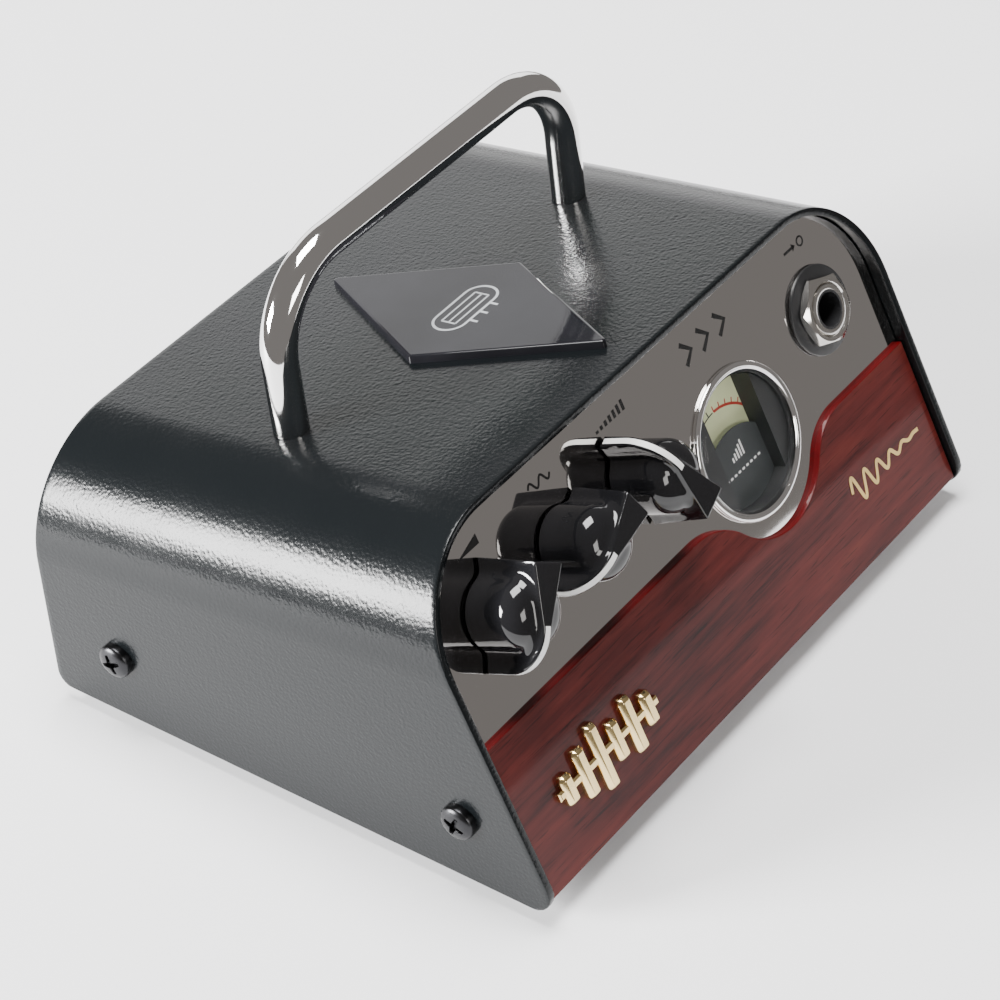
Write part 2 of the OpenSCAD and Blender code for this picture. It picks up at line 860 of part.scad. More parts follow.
// Soft frame that keeps knocks off the tube, on four legs from the board.
module tube_holder() {
    color([0.1, 0.1, 0.11]) {
        at_tube()
        difference() {
            translate([-26, -12, -5.5]) cube([52, 24, 7]);
            translate([-22.6, -8.6, -2.2]) cube([45.2, 17.2, 8]);
            translate([-17, -5, -6]) cube([34, 10, 5]);
        }
        for (x = [-24, 24], y = [-9, 9])
            place() translate([x, tube_at[1] + y, board_z + board_t])
                cylinder(r = 1.8, h = tube_at[2] - board_z - board_t - 4.8 - y * tan(top_slope));
    }
}

capacitor_at = [[-50, 46, 8, 20], [-50, 58, 8, 20], [-38, 70, 8, 20],
    [-38, 46, 6.3, 12], [-30, 46, 6.3, 12], [-50, 72, 6.3, 12]];

module capacitors() {
    color([0.12, 0.12, 0.3])
    place() for (c = capacitor_at)
        translate([c[0], c[1], board_z + board_t]) cylinder(d = c[2], h = c[3]);
}

module inductors() {
    color([0.25, 0.25, 0.26])
    place() for (y = [40, 60])
        translate([-4, y, board_z + board_t]) difference() {
            cylinder(d = 14, h = 9);
            translate([0, 0, -1]) cylinder(d = 5, h = 12);
        }
}

top_cover();
chassis_tray();
rear_panel();
front_panel();
wood_panel();
wood_pins();
badge();
emblem_plate();
handle();
handle_screws();
cover_screws();
rear_screws();
rubber_feet();
feet_screws();
gain_knob();
tone_knob();
volume_knob();
gain_shaft();
tone_shaft();
volume_shaft();
pot_bodies();
pot_washers();
pot_nuts();
meter_bezel();
meter_lens();
meter_dial();
meter_mask();
meter_needle();
meter_coil();
meter_magnet();
meter_housing();
input_jack();
input_jack_washer();
input_jack_nut();
jack_terminals();
speaker_jack();
headphone_jack();
rear_jack_washers();
rear_jack_nuts();
dc_inlet();
power_switch_housing();
power_rocker();
switch_bodies();
impedance_slider();
tone_slider();
level_slider();
main_board();
front_board();
ribbon_cable();
heat_sink();
tube_glass();
tube_electrodes();
tube_holder();
capacitors();
inductors();
power_chips();
standoffs();
board_screws();
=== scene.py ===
# %% [markdown]
# # A small guitar amp head
#
# The real object is a folded steel cover over a tray. A polished plate leans back in its
# open front and carries three pointer knobs, a round output meter and an input jack; a
# lacquered wood panel covers the lower part, and a bent rod on the top is the handle.
# The CAD model gives the places and the moving bodies. This script makes every surface
# that is seen, each around the CAD node that it stands for.

import json
import math

import bmesh
import bpy
import numpy as np
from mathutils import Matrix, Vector


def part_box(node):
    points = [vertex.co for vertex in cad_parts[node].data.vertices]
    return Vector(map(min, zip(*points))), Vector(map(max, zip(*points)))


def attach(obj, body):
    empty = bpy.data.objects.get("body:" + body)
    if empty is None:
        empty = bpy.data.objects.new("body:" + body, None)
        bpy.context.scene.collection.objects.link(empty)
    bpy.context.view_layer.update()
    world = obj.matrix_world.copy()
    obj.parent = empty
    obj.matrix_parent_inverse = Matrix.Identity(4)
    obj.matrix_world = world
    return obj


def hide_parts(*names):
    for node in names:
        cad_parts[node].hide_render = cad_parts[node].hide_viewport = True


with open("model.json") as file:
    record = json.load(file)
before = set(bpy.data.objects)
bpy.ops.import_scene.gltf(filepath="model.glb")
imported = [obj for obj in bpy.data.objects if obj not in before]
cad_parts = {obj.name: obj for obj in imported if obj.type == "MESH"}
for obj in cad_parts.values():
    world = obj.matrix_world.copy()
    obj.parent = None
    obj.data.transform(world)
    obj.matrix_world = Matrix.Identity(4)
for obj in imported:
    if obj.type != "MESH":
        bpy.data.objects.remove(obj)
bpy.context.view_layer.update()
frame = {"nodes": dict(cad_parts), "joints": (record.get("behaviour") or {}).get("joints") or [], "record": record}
record = frame["record"]
joints = {j["name"]: j for j in frame["joints"]}

# %% [markdown]
# ## Two working planes
#
# Almost everything sits on the leaning front plate or on the sloping top. One could turn
# and move each object there, but a finished piece has to keep its place in its mesh. So
# each plane is a small frame, an origin and three directions, and shapes worked out flat
# are carried into it by one matrix product. The front frame comes from the first knob's
# joint, whose axis is the plate's own normal.

# %% Frames
MM = 0.001
KNOB_S = 50.8                        # the knobs' height up the slope of the front plate
TOP_SLOPE = math.radians(8.65)       # fall of the top towards the back
RIGHT = np.array([1.0, 0.0, 0.0])


class Plane:
    """A flat place in the row frame: origin plus a x-axis + b y-axis + c normal, in mm."""

    def __init__(self, origin, x_axis, y_axis, normal):
        self.origin = np.asarray(origin, float)
        self.axes = np.array([x_axis, y_axis, normal], float)

    def put(self, points):
        return np.asarray(points, float) @ self.axes + self.origin

    def at(self, x, y, z=0.0, turn=0.0):
        """The same plane moved to a point of itself and turned about its normal (radians)."""
        c, s = math.cos(turn), math.sin(turn)
        a, b, n = self.axes
        return Plane(self.put([x, y, z]), c * a + s * b, c * b - s * a, n)


def box_mm(node):
    lo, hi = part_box(node)
    return np.array(lo) / MM, np.array(hi) / MM


knob_joint = joints["gain_turn"]
front_normal = np.array(knob_joint["axis"], float)
front_normal /= np.linalg.norm(front_normal)
up_slope = np.cross(front_normal, RIGHT)
knob_place = np.array(knob_joint["pos_m"], float) / MM
# the front frame's origin is in the middle across, at height 0 on the slope
front = Plane(knob_place - knob_place[0] * RIGHT - KNOB_S * up_slope, RIGHT, up_slope, front_normal)
LEAN = math.asin(front_normal[2])

emblem_lo, emblem_hi = box_mm("emblem_plate")
EMBLEM_T = 1.5
top_normal = np.array([0.0, math.sin(TOP_SLOPE), math.cos(TOP_SLOPE)])
top_down = np.array([0.0, math.cos(TOP_SLOPE), -math.sin(TOP_SLOPE)])
# the top frame's origin is under the middle of the emblem plate, its y runs to the back
top = Plane((emblem_lo + emblem_hi) / 2 - top_normal * EMBLEM_T / 2, RIGHT, top_down, top_normal)

rear_hi = box_mm("rear_panel")[1]
# the rear frame is seen from behind: x to the left of the front view, y up, z outwards
rear = Plane([0, rear_hi[1], 0], -RIGHT, [0, 0, 1], [0, 1, 0])
print("front leans", round(math.degrees(LEAN), 2), "degrees")

# %% [markdown]
# ## Camera
#
# The camera is placed like a real one: a long lens, high on the left. Its place and its
# three angles are plain numbers, because nothing in the model depends on them.

# %% Camera
CAMERA_PLACE = (-376.0, -298.7, 410.0)
CAMERA_TURN = (50.984, 3.443, -54.059)
camera_data = bpy.data.cameras.new("camera")
camera_data.lens = 122.1
camera_data.sensor_width = 36.0
camera_data.clip_start = 0.01
camera = bpy.data.objects.new("camera", camera_data)
camera.location = [v * MM for v in CAMERA_PLACE]
camera.rotation_euler = [math.radians(v) for v in CAMERA_TURN]
bpy.context.scene.collection.objects.link(camera)
bpy.context.scene.camera = camera
print("lens", camera_data.lens, "mm")

# %% [markdown]
# ## Making meshes from arrays
#
# A surface here is a grid: an array of points with two indices. Neighbours in the grid
# make four-sided faces, so the faces can be worked out as whole arrays too. A grid may
# close on itself in either direction, as a tube does round its middle. Where a row meets
# in one point, such as the tip of a dome, its points are merged afterwards.

# %% Grid to mesh
def grid_faces(rows, cols, close_rows=False, close_cols=False):
    """Quads (i,j), (i+1,j), (i+1,j+1), (i,j+1) over the grid, wrapping where it is closed."""
    i = np.arange(rows if close_rows else rows - 1)[:, None]
    j = np.arange(cols if close_cols else cols - 1)[None, :]
    i2, j2 = (i + 1) % rows, (j + 1) % cols
    quads = np.stack(np.broadcast_arrays(i * cols + j, i2 * cols + j, i2 * cols + j2, i * cols + j2), -1)
    return quads.reshape(-1, 4)


def signed_volume(points, faces):
    """Sum of the tetrahedra from the origin to each face's fan of triangles, over six."""
    total = 0.0
    for f in faces:
        a = points[f[:, 0]]
        for k in range(1, f.shape[1] - 1):
            total += np.einsum("ij,ij->", a, np.cross(points[f[:, k]], points[f[:, k + 1]]))
    return total / 6


def solid(points, faces):
    """One closed body as (points, faces), its faces turned so that they point outwards."""
    points = np.asarray(points, float).reshape(-1, 3)
    shifted = points - points.mean(0)
    if signed_volume(shifted, faces) < 0:
        faces = [f[:, ::-1] for f in faces]
    return points, faces


def grid_solid(grid, close_rows=True, close_cols=False):
    """A body from a grid of points; open ends of the columns are closed with flat faces."""
    rows, cols = grid.shape[:2]
    faces = [grid_faces(rows, cols, close_rows, close_cols)]
    if close_rows and not close_cols:
        first = (np.arange(rows) * cols)[None, :]
        faces += [first, first[:, ::-1] + cols - 1]
    return solid(grid, faces)


def piece(name, bodies, body="case", stands_for=(), slot=None, sharp=32, rim=None):
    offsets = np.cumsum([0] + [len(p) for p, _ in bodies])
    points = np.concatenate([p for p, _ in bodies]) * MM
    faces = [f + o for (_, fs), o in zip(bodies, offsets) for f in fs]
    corners = np.concatenate([f.reshape(-1) for f in faces]).astype(np.int32)
    sizes = np.concatenate([np.full(len(f), f.shape[1]) for f in faces])
    starts = np.concatenate([[0], np.cumsum(sizes)[:-1]]).astype(np.int32)
    mesh = bpy.data.meshes.new(name)
    mesh.vertices.add(len(points))
    mesh.vertices.foreach_set("co", points.ravel())
    mesh.loops.add(len(corners))
    mesh.loops.foreach_set("vertex_index", corners)
    mesh.polygons.add(len(sizes))
    mesh.polygons.foreach_set("loop_start", starts)
    if rim is not None:
        mesh.attributes.new("rim", "FLOAT", "POINT").data.foreach_set("value", rim)
    mesh.update(calc_edges=True)
    weld(mesh)
    mesh.shade_smooth()
    mesh.set_sharp_from_angle(angle=math.radians(sharp))
    made = bpy.data.objects.new(name, mesh)
    bpy.context.scene.collection.objects.link(made)
    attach(made, body)
    if stands_for:
        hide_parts(*stands_for)
    mesh.materials.append(material(slot))
    print(f"{name}: {len(mesh.polygons)} faces")
    return made


def weld(mesh):
    """Merges points that lie in one place, which closes poles and drops empty faces."""
    bm = bmesh.new()
    bm.from_mesh(mesh)
    bmesh.ops.remove_doubles(bm, verts=bm.verts, dist=2e-7)
    bmesh.ops.dissolve_degenerate(bm, edges=bm.edges, dist=1e-8)
    bm.to_mesh(mesh)
    bm.free()


# %% [markdown]
# ## Four ways to make a shape
#
# - a turned shape: a profile of radius and height carried round an axis, as on a lathe
# - a swept tube: a circle carried along a path, its frame turned as little as possible
# - a plate: one outline, drawn in again and again while it rises, so its edge is rounded
# - a ribbon: a flat line with a width and a small height, for printed marks

# %% Shape makers
def ring_angles(count):
    return np.arange(count) * 2 * np.pi / count


def arc_points(cx, cy, r, start, end, count):
    """Points on a circle about (cx, cy) from start to end, in degrees."""
    a = np.radians(np.linspace(start, end, count))
    return np.stack([cx + r * np.cos(a), cy + r * np.sin(a)], 1)


def turned(profile, plane, count=96, closed=False):
    """Radius times (cos, sin) of the angle, and the height, for every profile point."""
    profile = np.asarray(profile, float)
    a = ring_angles(count)[:, None]
    r, z = profile[:, 0][None, :], profile[:, 1][None, :]
    grid = np.stack([r * np.cos(a), r * np.sin(a), z + 0 * a], -1)
    return grid_solid(plane.put(grid), close_rows=True, close_cols=closed)


def tube(path, radius, sides=48):
    """A circle at every path point, square to the path; all frames share one side direction."""
    path = np.asarray(path, float)
    step = np.gradient(path, axis=0)
    along = step / np.linalg.norm(step, axis=1)[:, None]
    # the path is flat, so one direction is its plane's normal everywhere
    flat = np.cross(along[0], along[len(path) // 2])
    side = np.broadcast_to(flat / np.linalg.norm(flat), path.shape)
    up = np.cross(side, along)
    a = ring_angles(sides)
    radius = np.broadcast_to(radius, len(path))[:, None, None]
    circle = side[:, None, :] * np.cos(a)[None, :, None] + up[:, None, :] * np.sin(a)[None, :, None]
    grid = path[:, None, :] + radius * circle
    return grid_solid(np.swapaxes(grid, 0, 1), close_rows=True)


def drawn_in(outline, inset):
    """The outline moved inwards: each point along the mean of its two edges' normals."""
    before = outline - np.roll(outline, 1, 0)
    after = np.roll(outline, -1, 0) - outline
    n1 = np.stack([-before[:, 1], before[:, 0]], 1) / np.linalg.norm(before, axis=1)[:, None]
    n2 = np.stack([-after[:, 1], after[:, 0]], 1) / np.linalg.norm(after, axis=1)[:, None]
    mean = n1 + n2
    miter = mean / (1 + np.einsum("ij,ij->i", n1, n2))[:, None]
    return outline + inset * miter


def plate(outline, plane, levels):
    """A body between flat ends: at each level (inset, height) the outline is drawn in.

    The outline runs anticlockwise."""
    outline = np.asarray(outline, float)
    rows = [np.column_stack([drawn_in(outline, d), np.full(len(outline), z)]) for d, z in levels]
    grid = np.stack(rows, 1)
    return grid_solid(plane.put(grid), close_rows=True)


def rounded_edge(height, radius, steps=4, base=0.0):
    """Levels for a plate whose upper edge is a quarter circle of the given radius."""
    a = np.linspace(0, np.pi / 2, steps + 1)
    rise = [(radius * (1 - math.cos(t)), height - radius + radius * math.sin(t)) for t in a]
    return [(0.0, base)] + rise


def ribbon(path, width, plane, height=0.04, base=0.0, close=False):
    """A flat bar along a path in the plane, square in section, mitred at its bends."""
    path = np.asarray(path, float)
    if close:
        step = np.roll(path, -1, 0) - np.roll(path, 1, 0)
    else:
        step = np.gradient(path, axis=0)
    along = step / np.linalg.norm(step, axis=1)[:, None]
    side = np.stack([-along[:, 1], along[:, 0]], 1) * width / 2
    corners = [(path + side, base), (path - side, base), (path - side, base + height),
               (path + side, base + height)]
    grid = np.stack([np.column_stack([xy, np.full(len(path), z)]) for xy, z in corners], 0)
    return grid_solid(plane.put(grid), close_rows=True, close_cols=close)


def rectangle(width, height, cx=0.0, cy=0.0, corner=0.0, steps=5):
    """A rectangle's outline, anticlockwise; its corners are quarter circles where asked."""
    if corner <= 0:
        half = np.array([[1, -1], [1, 1], [-1, 1], [-1, -1]]) * [width / 2, height / 2]
        return half + [cx, cy]
    ends = [(1, -1, -90), (1, 1, 0), (-1, 1, 90), (-1, -1, 180)]
    return np.concatenate([
        arc_points(cx + sx * (width / 2 - corner), cy + sy * (height / 2 - corner),
                   corner, a, a + 90, steps) for sx, sy, a in ends])


# %% [markdown]
# ## Finishes
#
# Each finish is one small node tree, read from object coordinates, so that a pattern has
# a real size in metres. Plain values go straight on the shader. Texture comes from noise:
# on paint and plastic as bump and as small changes of gloss, on wood as stretched streaks.

# %% Node helpers
MATERIALS = {}


class Tree:
    """A material's node tree with short ways to add and join nodes."""

    def __init__(self, name, **shader_values):
        self.material = bpy.data.materials.new(name)
        self.material.use_nodes = True
        self.nodes = self.material.node_tree.nodes
        self.links = self.material.node_tree.links
        self.shader = self.nodes["Principled BSDF"]
        for key, value in shader_values.items():
            self.shader.inputs[key.replace("_", " ")].default_value = value
        self.coords = None

    def node(self, kind, inputs=None, **settings):
        made = self.nodes.new(kind)
        for key, value in settings.items():
            setattr(made, key, value)
        for key, value in (inputs or {}).items():
            if isinstance(value, bpy.types.NodeSocket):
                self.links.new(value, made.inputs[key])
            else:
                made.inputs[key].default_value = value
        return made

    def object_coords(self, scale=(1, 1, 1)):
        if self.coords is None:
            self.coords = self.node("ShaderNodeTexCoord")
        mapped = self.node("ShaderNodeMapping", {"Vector": self.coords.outputs["Object"]})
        mapped.inputs["Scale"].default_value = scale
        return mapped.outputs["Vector"]

    def noise(self, scale, detail=2.0, vector=None, roughness=0.5):
        made = self.node("ShaderNodeTexNoise", {
            "Vector": vector or self.object_coords(), "Scale": scale, "Detail": detail,
            "Roughness": roughness})
        return made.outputs["Fac"]

    def ramp(self, value, stops):
        made = self.node("ShaderNodeValToRGB", {"Fac": value})
        elements = made.color_ramp.elements
        while len(elements) < len(stops):
            elements.new(0.5)
        for element, (place, color) in zip(elements, stops):
            element.position = place
            element.color = color if len(color) == 4 else (*color, 1)
        return made.outputs["Color"]

    def scaled(self, value, low, high):
        made = self.node("ShaderNodeMapRange", {"Value": value, "To Min": low, "To Max": high})
        return made.outputs["Result"]

    def bump(self, height, distance, strength=1.0):
        made = self.node("ShaderNodeBump", {"Height": height, "Distance": distance, "Strength": strength})
        return made.outputs["Normal"]

    def join(self, output, socket):
        self.links.new(output, self.shader.inputs[socket])


# %% Powder coat
def powder_coat(name, color, roughness):
    """Wrinkled coat: soft cells about half a millimetre wide, with finer grain on them."""
    t = Tree(name, Base_Color=(*color, 1), Specular_IOR_Level=0.24)
    wrinkle = t.noise(1450, 2.0, roughness=0.5)
    crease = t.node("ShaderNodeTexVoronoi", {"Vector": t.object_coords(), "Scale": 1650.0},
                    feature="SMOOTH_F1").outputs["Distance"]
    blend = t.node("ShaderNodeMath", {0: wrinkle, 1: crease}, operation="ADD").outputs[0]
    t.join(t.bump(blend, 0.000035, 0.9), "Normal")
    t.join(t.scaled(t.noise(90, 2), roughness - 0.04, roughness + 0.05), "Roughness")
    return t.material


# %% Metals and plastics
def metal(name, color, roughness, grain=0.02, bump=0.0, scale=700):
    """Polished or plated metal: gloss that wanders a little, and a faint bump if asked."""
    t = Tree(name, Base_Color=(*color, 1), Metallic=1.0)
    t.join(t.scaled(t.noise(scale, 3), max(roughness - grain, 0.01), roughness + grain), "Roughness")
    if bump:
        t.join(t.bump(t.noise(scale * 2, 2), bump, 0.5), "Normal")
    return t.material


def plastic(name, color, roughness, grain=0.03, bump=0.0, scale=900, spec=0.5):
    """Moulded plastic or rubber: fine noise in the gloss and in the surface."""
    t = Tree(name, Specular_IOR_Level=spec)
    low = tuple(c * 0.9 for c in color)
    high = tuple(min(c * 1.12, 1) for c in color)
    t.join(t.ramp(t.noise(scale / 6, 2), [(0.3, low), (0.7, high)]), "Base Color")
    t.join(t.scaled(t.noise(scale, 2), max(roughness - grain, 0.01), roughness + grain), "Roughness")
    if bump:
        t.join(t.bump(t.noise(scale * 1.6, 2), bump, 0.6), "Normal")
    return t.material


# %% Lacquered wood
def lacquered_wood(name):
    """Veneer: streaks from noise that is stretched along the grain, pores, and a clear coat."""
    t = Tree(name, Coat_Weight=0.22, Coat_Roughness=0.05, Coat_IOR=1.5, Specular_IOR_Level=0.1)
    broad = t.noise(1.0, 3, t.object_coords((14, 110, 110)), 0.6)
    fine = t.noise(1.0, 4, t.object_coords((40, 620, 620)), 0.65)
    both = t.node("ShaderNodeMath", {0: broad, 1: fine}, operation="ADD").outputs[0]
    half = t.node("ShaderNodeMath", {0: both, 1: 0.5}, operation="MULTIPLY").outputs[0]
    streaks = t.ramp(half, [(0.36, (0.022, 0.003, 0.003)), (0.46, (0.058, 0.0075, 0.0065)),
                            (0.56, (0.082, 0.0115, 0.0095)), (0.68, (0.105, 0.019, 0.013))])
    pores = t.noise(1.0, 2, t.object_coords((120, 2600, 2600)), 0.5)
    pore_mask = t.ramp(pores, [(0.33, (0.5, 0.5, 0.5)), (0.40, (1, 1, 1))])
    dark = t.node("ShaderNodeMix", {6: streaks, 7: pore_mask, "Factor": 1.0},
                  data_type="RGBA", blend_type="MULTIPLY").outputs[2]
    rim = t.node("ShaderNodeAttribute", attribute_name="rim").outputs["Fac"]
    edge = t.node("ShaderNodeMix", {"Factor": rim, 6: dark, 7: (0.075, 0.001, 0.002, 1)},
                  data_type="RGBA").outputs[2]
    t.join(edge, "Base Color")
    t.join(t.scaled(fine, 0.3, 0.5), "Roughness")
    t.join(t.bump(pore_mask, 0.00003, 0.25), "Normal")
    return t.material


# %% Glass and boards
def clear_glass(name):
    """A thin clear pane: mostly see-through, with the sharp gloss of its surface."""
    t = Tree(name, Base_Color=(0.04, 0.05, 0.045, 1), Roughness=0.02, Alpha=0.05, Specular_IOR_Level=1.0)
    t.join(t.scaled(t.noise(30, 1), 0.015, 0.03), "Roughness")
    return t.material


def circuit_board(name, color):
    """Solder mask with raised tracks: a square-ish pattern from square Voronoi cells."""
    t = Tree(name, Specular_IOR_Level=0.5, Roughness=0.32)
    cells = t.node("ShaderNodeTexVoronoi", {"Vector": t.object_coords(), "Scale": 330.0},
                   distance="CHEBYCHEV").outputs["Distance"]
    light = tuple(c * 1.9 for c in color)
    t.join(t.ramp(cells, [(0.42, color), (0.5, light)]), "Base Color")
    t.join(t.bump(cells, 0.00005, 0.4), "Normal")
    return t.material


# %% [markdown]
# The record names a slot for every node, so one table of makers by slot dresses both the
# CAD nodes that stay and the new pieces.

# %% Slots to finishes
FINISHES = {
    "cover_paint": lambda n: powder_coat(n, (0.0045, 0.0055, 0.0062), 0.2),
    "rear_paint": lambda n: powder_coat(n, (0.012, 0.012, 0.013), 0.42),
    "sheet_steel": lambda n: metal(n, (0.56, 0.57, 0.58), 0.32, 0.06, 0.00002),
    "mirror_plate": lambda n: metal(n, (0.76, 0.735, 0.715), 0.035, 0.012),
    "bright_chrome": lambda n: metal(n, (0.86, 0.85, 0.84), 0.05, 0.02),
    "nickel": lambda n: metal(n, (0.70, 0.68, 0.65), 0.14, 0.04),
    "lacquered_wood": lacquered_wood,
    "gold": lambda n: metal(n, (0.86, 0.66, 0.33), 0.16, 0.05),
    "black_gloss": lambda n: plastic(n, (0.010, 0.010, 0.012), 0.06, 0.015, spec=0.2),
    "knob_plastic": lambda n: plastic(n, (0.008, 0.008, 0.009), 0.07, 0.02),
    "black_plastic": lambda n: plastic(n, (0.016, 0.016, 0.017), 0.36, 0.05, 0.00003),
    "meter_grey": lambda n: plastic(n, (0.030, 0.033, 0.035), 0.5),
    "dial_card": lambda n: plastic(n, (0.78, 0.84, 0.50), 0.6),
    "needle_black": lambda n: plastic(n, (0.012, 0.012, 0.012), 0.4),
    "clear_glass": clear_glass,
    "green_plastic": lambda n: plastic(n, (0.03, 0.13, 0.06), 0.4),
    "copper": lambda n: metal(n, (0.72, 0.35, 0.18), 0.3, 0.08, 0.00008, 2500),
    "magnet_steel": lambda n: metal(n, (0.24, 0.24, 0.25), 0.45, 0.08, 0.00004),
    "black_screw": lambda n: metal(n, (0.035, 0.035, 0.037), 0.3, 0.06, 0.00002),
    "zinc": lambda n: metal(n, (0.64, 0.65, 0.66), 0.25, 0.05),
    "black_rubber": lambda n: plastic(n, (0.018, 0.018, 0.018), 0.75, 0.06, 0.00006),
    "board_green": lambda n: circuit_board(n, (0.01, 0.07, 0.03)),
    "cable_grey": lambda n: plastic(n, (0.36, 0.36, 0.38), 0.5),
    "black_anodised": lambda n: metal(n, (0.05, 0.05, 0.052), 0.42, 0.05, 0.00002),
    "capacitor_sleeve": lambda n: plastic(n, (0.012, 0.016, 0.07), 0.22),
    "ferrite": lambda n: plastic(n, (0.03, 0.03, 0.032), 0.6, 0.05, 0.00005),
    "brass": lambda n: metal(n, (0.72, 0.53, 0.24), 0.25, 0.05),
}


def material(slot):
    if slot not in MATERIALS:
        MATERIALS[slot] = FINISHES[slot](slot)
    return MATERIALS[slot]


slot_of = {s["node"]: s["material_slot"] for s in record["subparts"]}
for node_name, node_object in frame["nodes"].items():
    for held in node_object.material_slots:
        held.material = material(slot_of[node_name])
print("finishes:", len(MATERIALS))

# %% [markdown]
# ## Printed and painted marks
#
# White, black, red, grey and gold print has no slot of its own: it lies on a piece, and
# takes the slot that it lies on. Only its colour is its own.

# %% Print colours
def print_paint(name, color, roughness=0.45, metallic=0.0):
    t = Tree(name, Base_Color=(*color, 1), Metallic=metallic)
    t.join(t.scaled(t.noise(1500, 2), roughness - 0.05, roughness + 0.05), "Roughness")
    return t.material


INK = {
    "white": print_paint("white_ink", (0.80, 0.80, 0.79)),
    "black": print_paint("black_ink", (0.010, 0.010, 0.010), 0.3),
    "red": print_paint("red_ink", (0.55, 0.05, 0.03)),
    "grey": print_paint("grey_ink", (0.30, 0.31, 0.32), 0.3),
    "gold": print_paint("gold_ink", (0.80, 0.58, 0.24), 0.3, 1.0),
}


def marks(name, bodies, ink, slot, body="case"):
    """A piece made of thin printed marks, in one ink."""
    made = piece(name, bodies, body=body, slot=slot)
    made.data.materials[0] = INK[ink]
    return made


# %% [markdown]
# ## The folded cover
#
# The cover is one sheet, bent round two long shoulders. A box with bevelled edges would
# lose its two slopes: its front leans back, and its top falls to the back. So the outer
# face is a grid. One parameter runs up the left side, over the top and down the right
# side; the other runs from the front edge to the back edge, and every line of it starts
# on the leaning front plane. Solidify then gives the sheet its thickness, inwards, and a
# small Bevel breaks the edges of the cut.

# %% Cover
SHEET = 1.5
BEND_R = 21.6
CASE_DEPTH = 111.2
FRONT_CORNER = 4.0
BACK_CORNER = 3.0
cover_lo, cover_hi = box_mm("top_cover")
half_width = (cover_hi[0] - cover_lo[0]) / 2
front_foot = cover_hi[1] - CASE_DEPTH            # where the front plane meets the lower edge
edge_height = cover_hi[2] - cover_lo[2]          # the front edge of the top, over the lower edge
tan_lean, tan_top = math.tan(LEAN), math.tan(TOP_SLOPE)
ridge_level = edge_height * (1 + tan_lean * tan_top)   # height of the top's plane at y = 0


def front_edge_y(z):
    """y of the front edge at height z: the leaning line, or the small lower corner's arc."""
    center = FRONT_CORNER * (1 + math.sin(LEAN)) / math.cos(LEAN)
    arc = center - np.sqrt(np.maximum(FRONT_CORNER**2 - (z - FRONT_CORNER)**2, 0))
    return np.where(z < FRONT_CORNER * (1 + math.sin(LEAN)), arc, z * tan_lean)


def back_edge_y(z):
    arc = CASE_DEPTH - BACK_CORNER + np.sqrt(np.maximum(BACK_CORNER**2 - (z - BACK_CORNER)**2, 0))
    return np.where(z < BACK_CORNER, arc, CASE_DEPTH)


def cover_surface(depth_count=90):
    """x from the U's profile; z falls with y on the top and shoulders, and on the sides runs
    from 0 up to the shoulder's lower line; y goes from the front edge to the back edge."""
    v = np.linspace(0, 1, depth_count)[None, :]
    turn = np.radians(np.linspace(90, 0, 28))[:, None]
    x_bend = half_width - BEND_R + BEND_R * np.sin(turn)
    level = ridge_level - BEND_R * (1 - np.cos(turn)) / math.cos(TOP_SLOPE)
    y0 = tan_lean * level / (1 + tan_lean * tan_top)
    y = y0 + (CASE_DEPTH - y0) * v
    bend = np.stack([x_bend + 0 * y, y, level - y * tan_top], -1)
    share = np.sin(np.linspace(0, np.pi / 2, 34))[:, None] ** 1.6
    shoulder_z = bend[0, :, 2][None, :]
    z = share * shoulder_z
    y_front = front_edge_y(z)
    y_side = y_front + (back_edge_y(z) - y_front) * v
    side = np.stack([half_width + 0 * y_side, y_side, z], -1)[:-1]
    across = np.linspace(half_width - BEND_R, 0, 20)[1:, None]
    flat = np.stack([across + 0 * bend[-1, :, 0], 0 * across + bend[-1, :, 1],
                     0 * across + bend[-1, :, 2]], -1)
    right = np.concatenate([side, bend, flat])
    left = right[::-1][1:] * [-1, 1, 1]
    return np.concatenate([right, left]) + [0, front_foot, cover_lo[2]]


cover_grid = cover_surface()
rows, cols = cover_grid.shape[:2]
cover = piece("cover_shell", [(cover_grid.reshape(-1, 3), [grid_faces(rows, cols)[:, ::-1]])],
              stands_for=["top_cover"], slot="cover_paint", sharp=60)
wall = cover.modifiers.new("sheet", "SOLIDIFY")
wall.thickness = SHEET * MM
wall.offset = -1
wall.use_even_offset = True
cut_edge = cover.modifiers.new("cut_edge", "BEVEL")
cut_edge.width = 0.3 * MM
cut_edge.segments = 2
cut_edge.limit_method = "ANGLE"
cut_edge.angle_limit = math.radians(50)
print("cover", round(2 * half_width, 1), "mm wide")

# %% [markdown]
# ## Handle
#
# A rod is bent twice and screwed on from inside. A curve with a round bevel would do, but
# its bends would be drawn by handles and not by their radius. Here the path is made of its
# real parts, two legs, two quarter circles and a bar, and a circle is carried along it.

# %% Handle
ROD = 6.5
HANDLE_HALF = 41.0
HANDLE_RISE = 29.2
HANDLE_BEND = 15.9
HANDLE_LEAN = math.radians(2.9)
handle_hi = box_mm("handle")[1]
leg_up = np.array([0, math.sin(HANDLE_LEAN), math.cos(HANDLE_LEAN)])
leg_out = np.array([0, math.cos(HANDLE_LEAN), -math.sin(HANDLE_LEAN)])
bar_middle = np.array([0, handle_hi[1] - ROD / 2, handle_hi[2] - ROD / 2])
handle_plane = Plane(bar_middle - HANDLE_RISE * leg_up, RIGHT, leg_up, -leg_out)


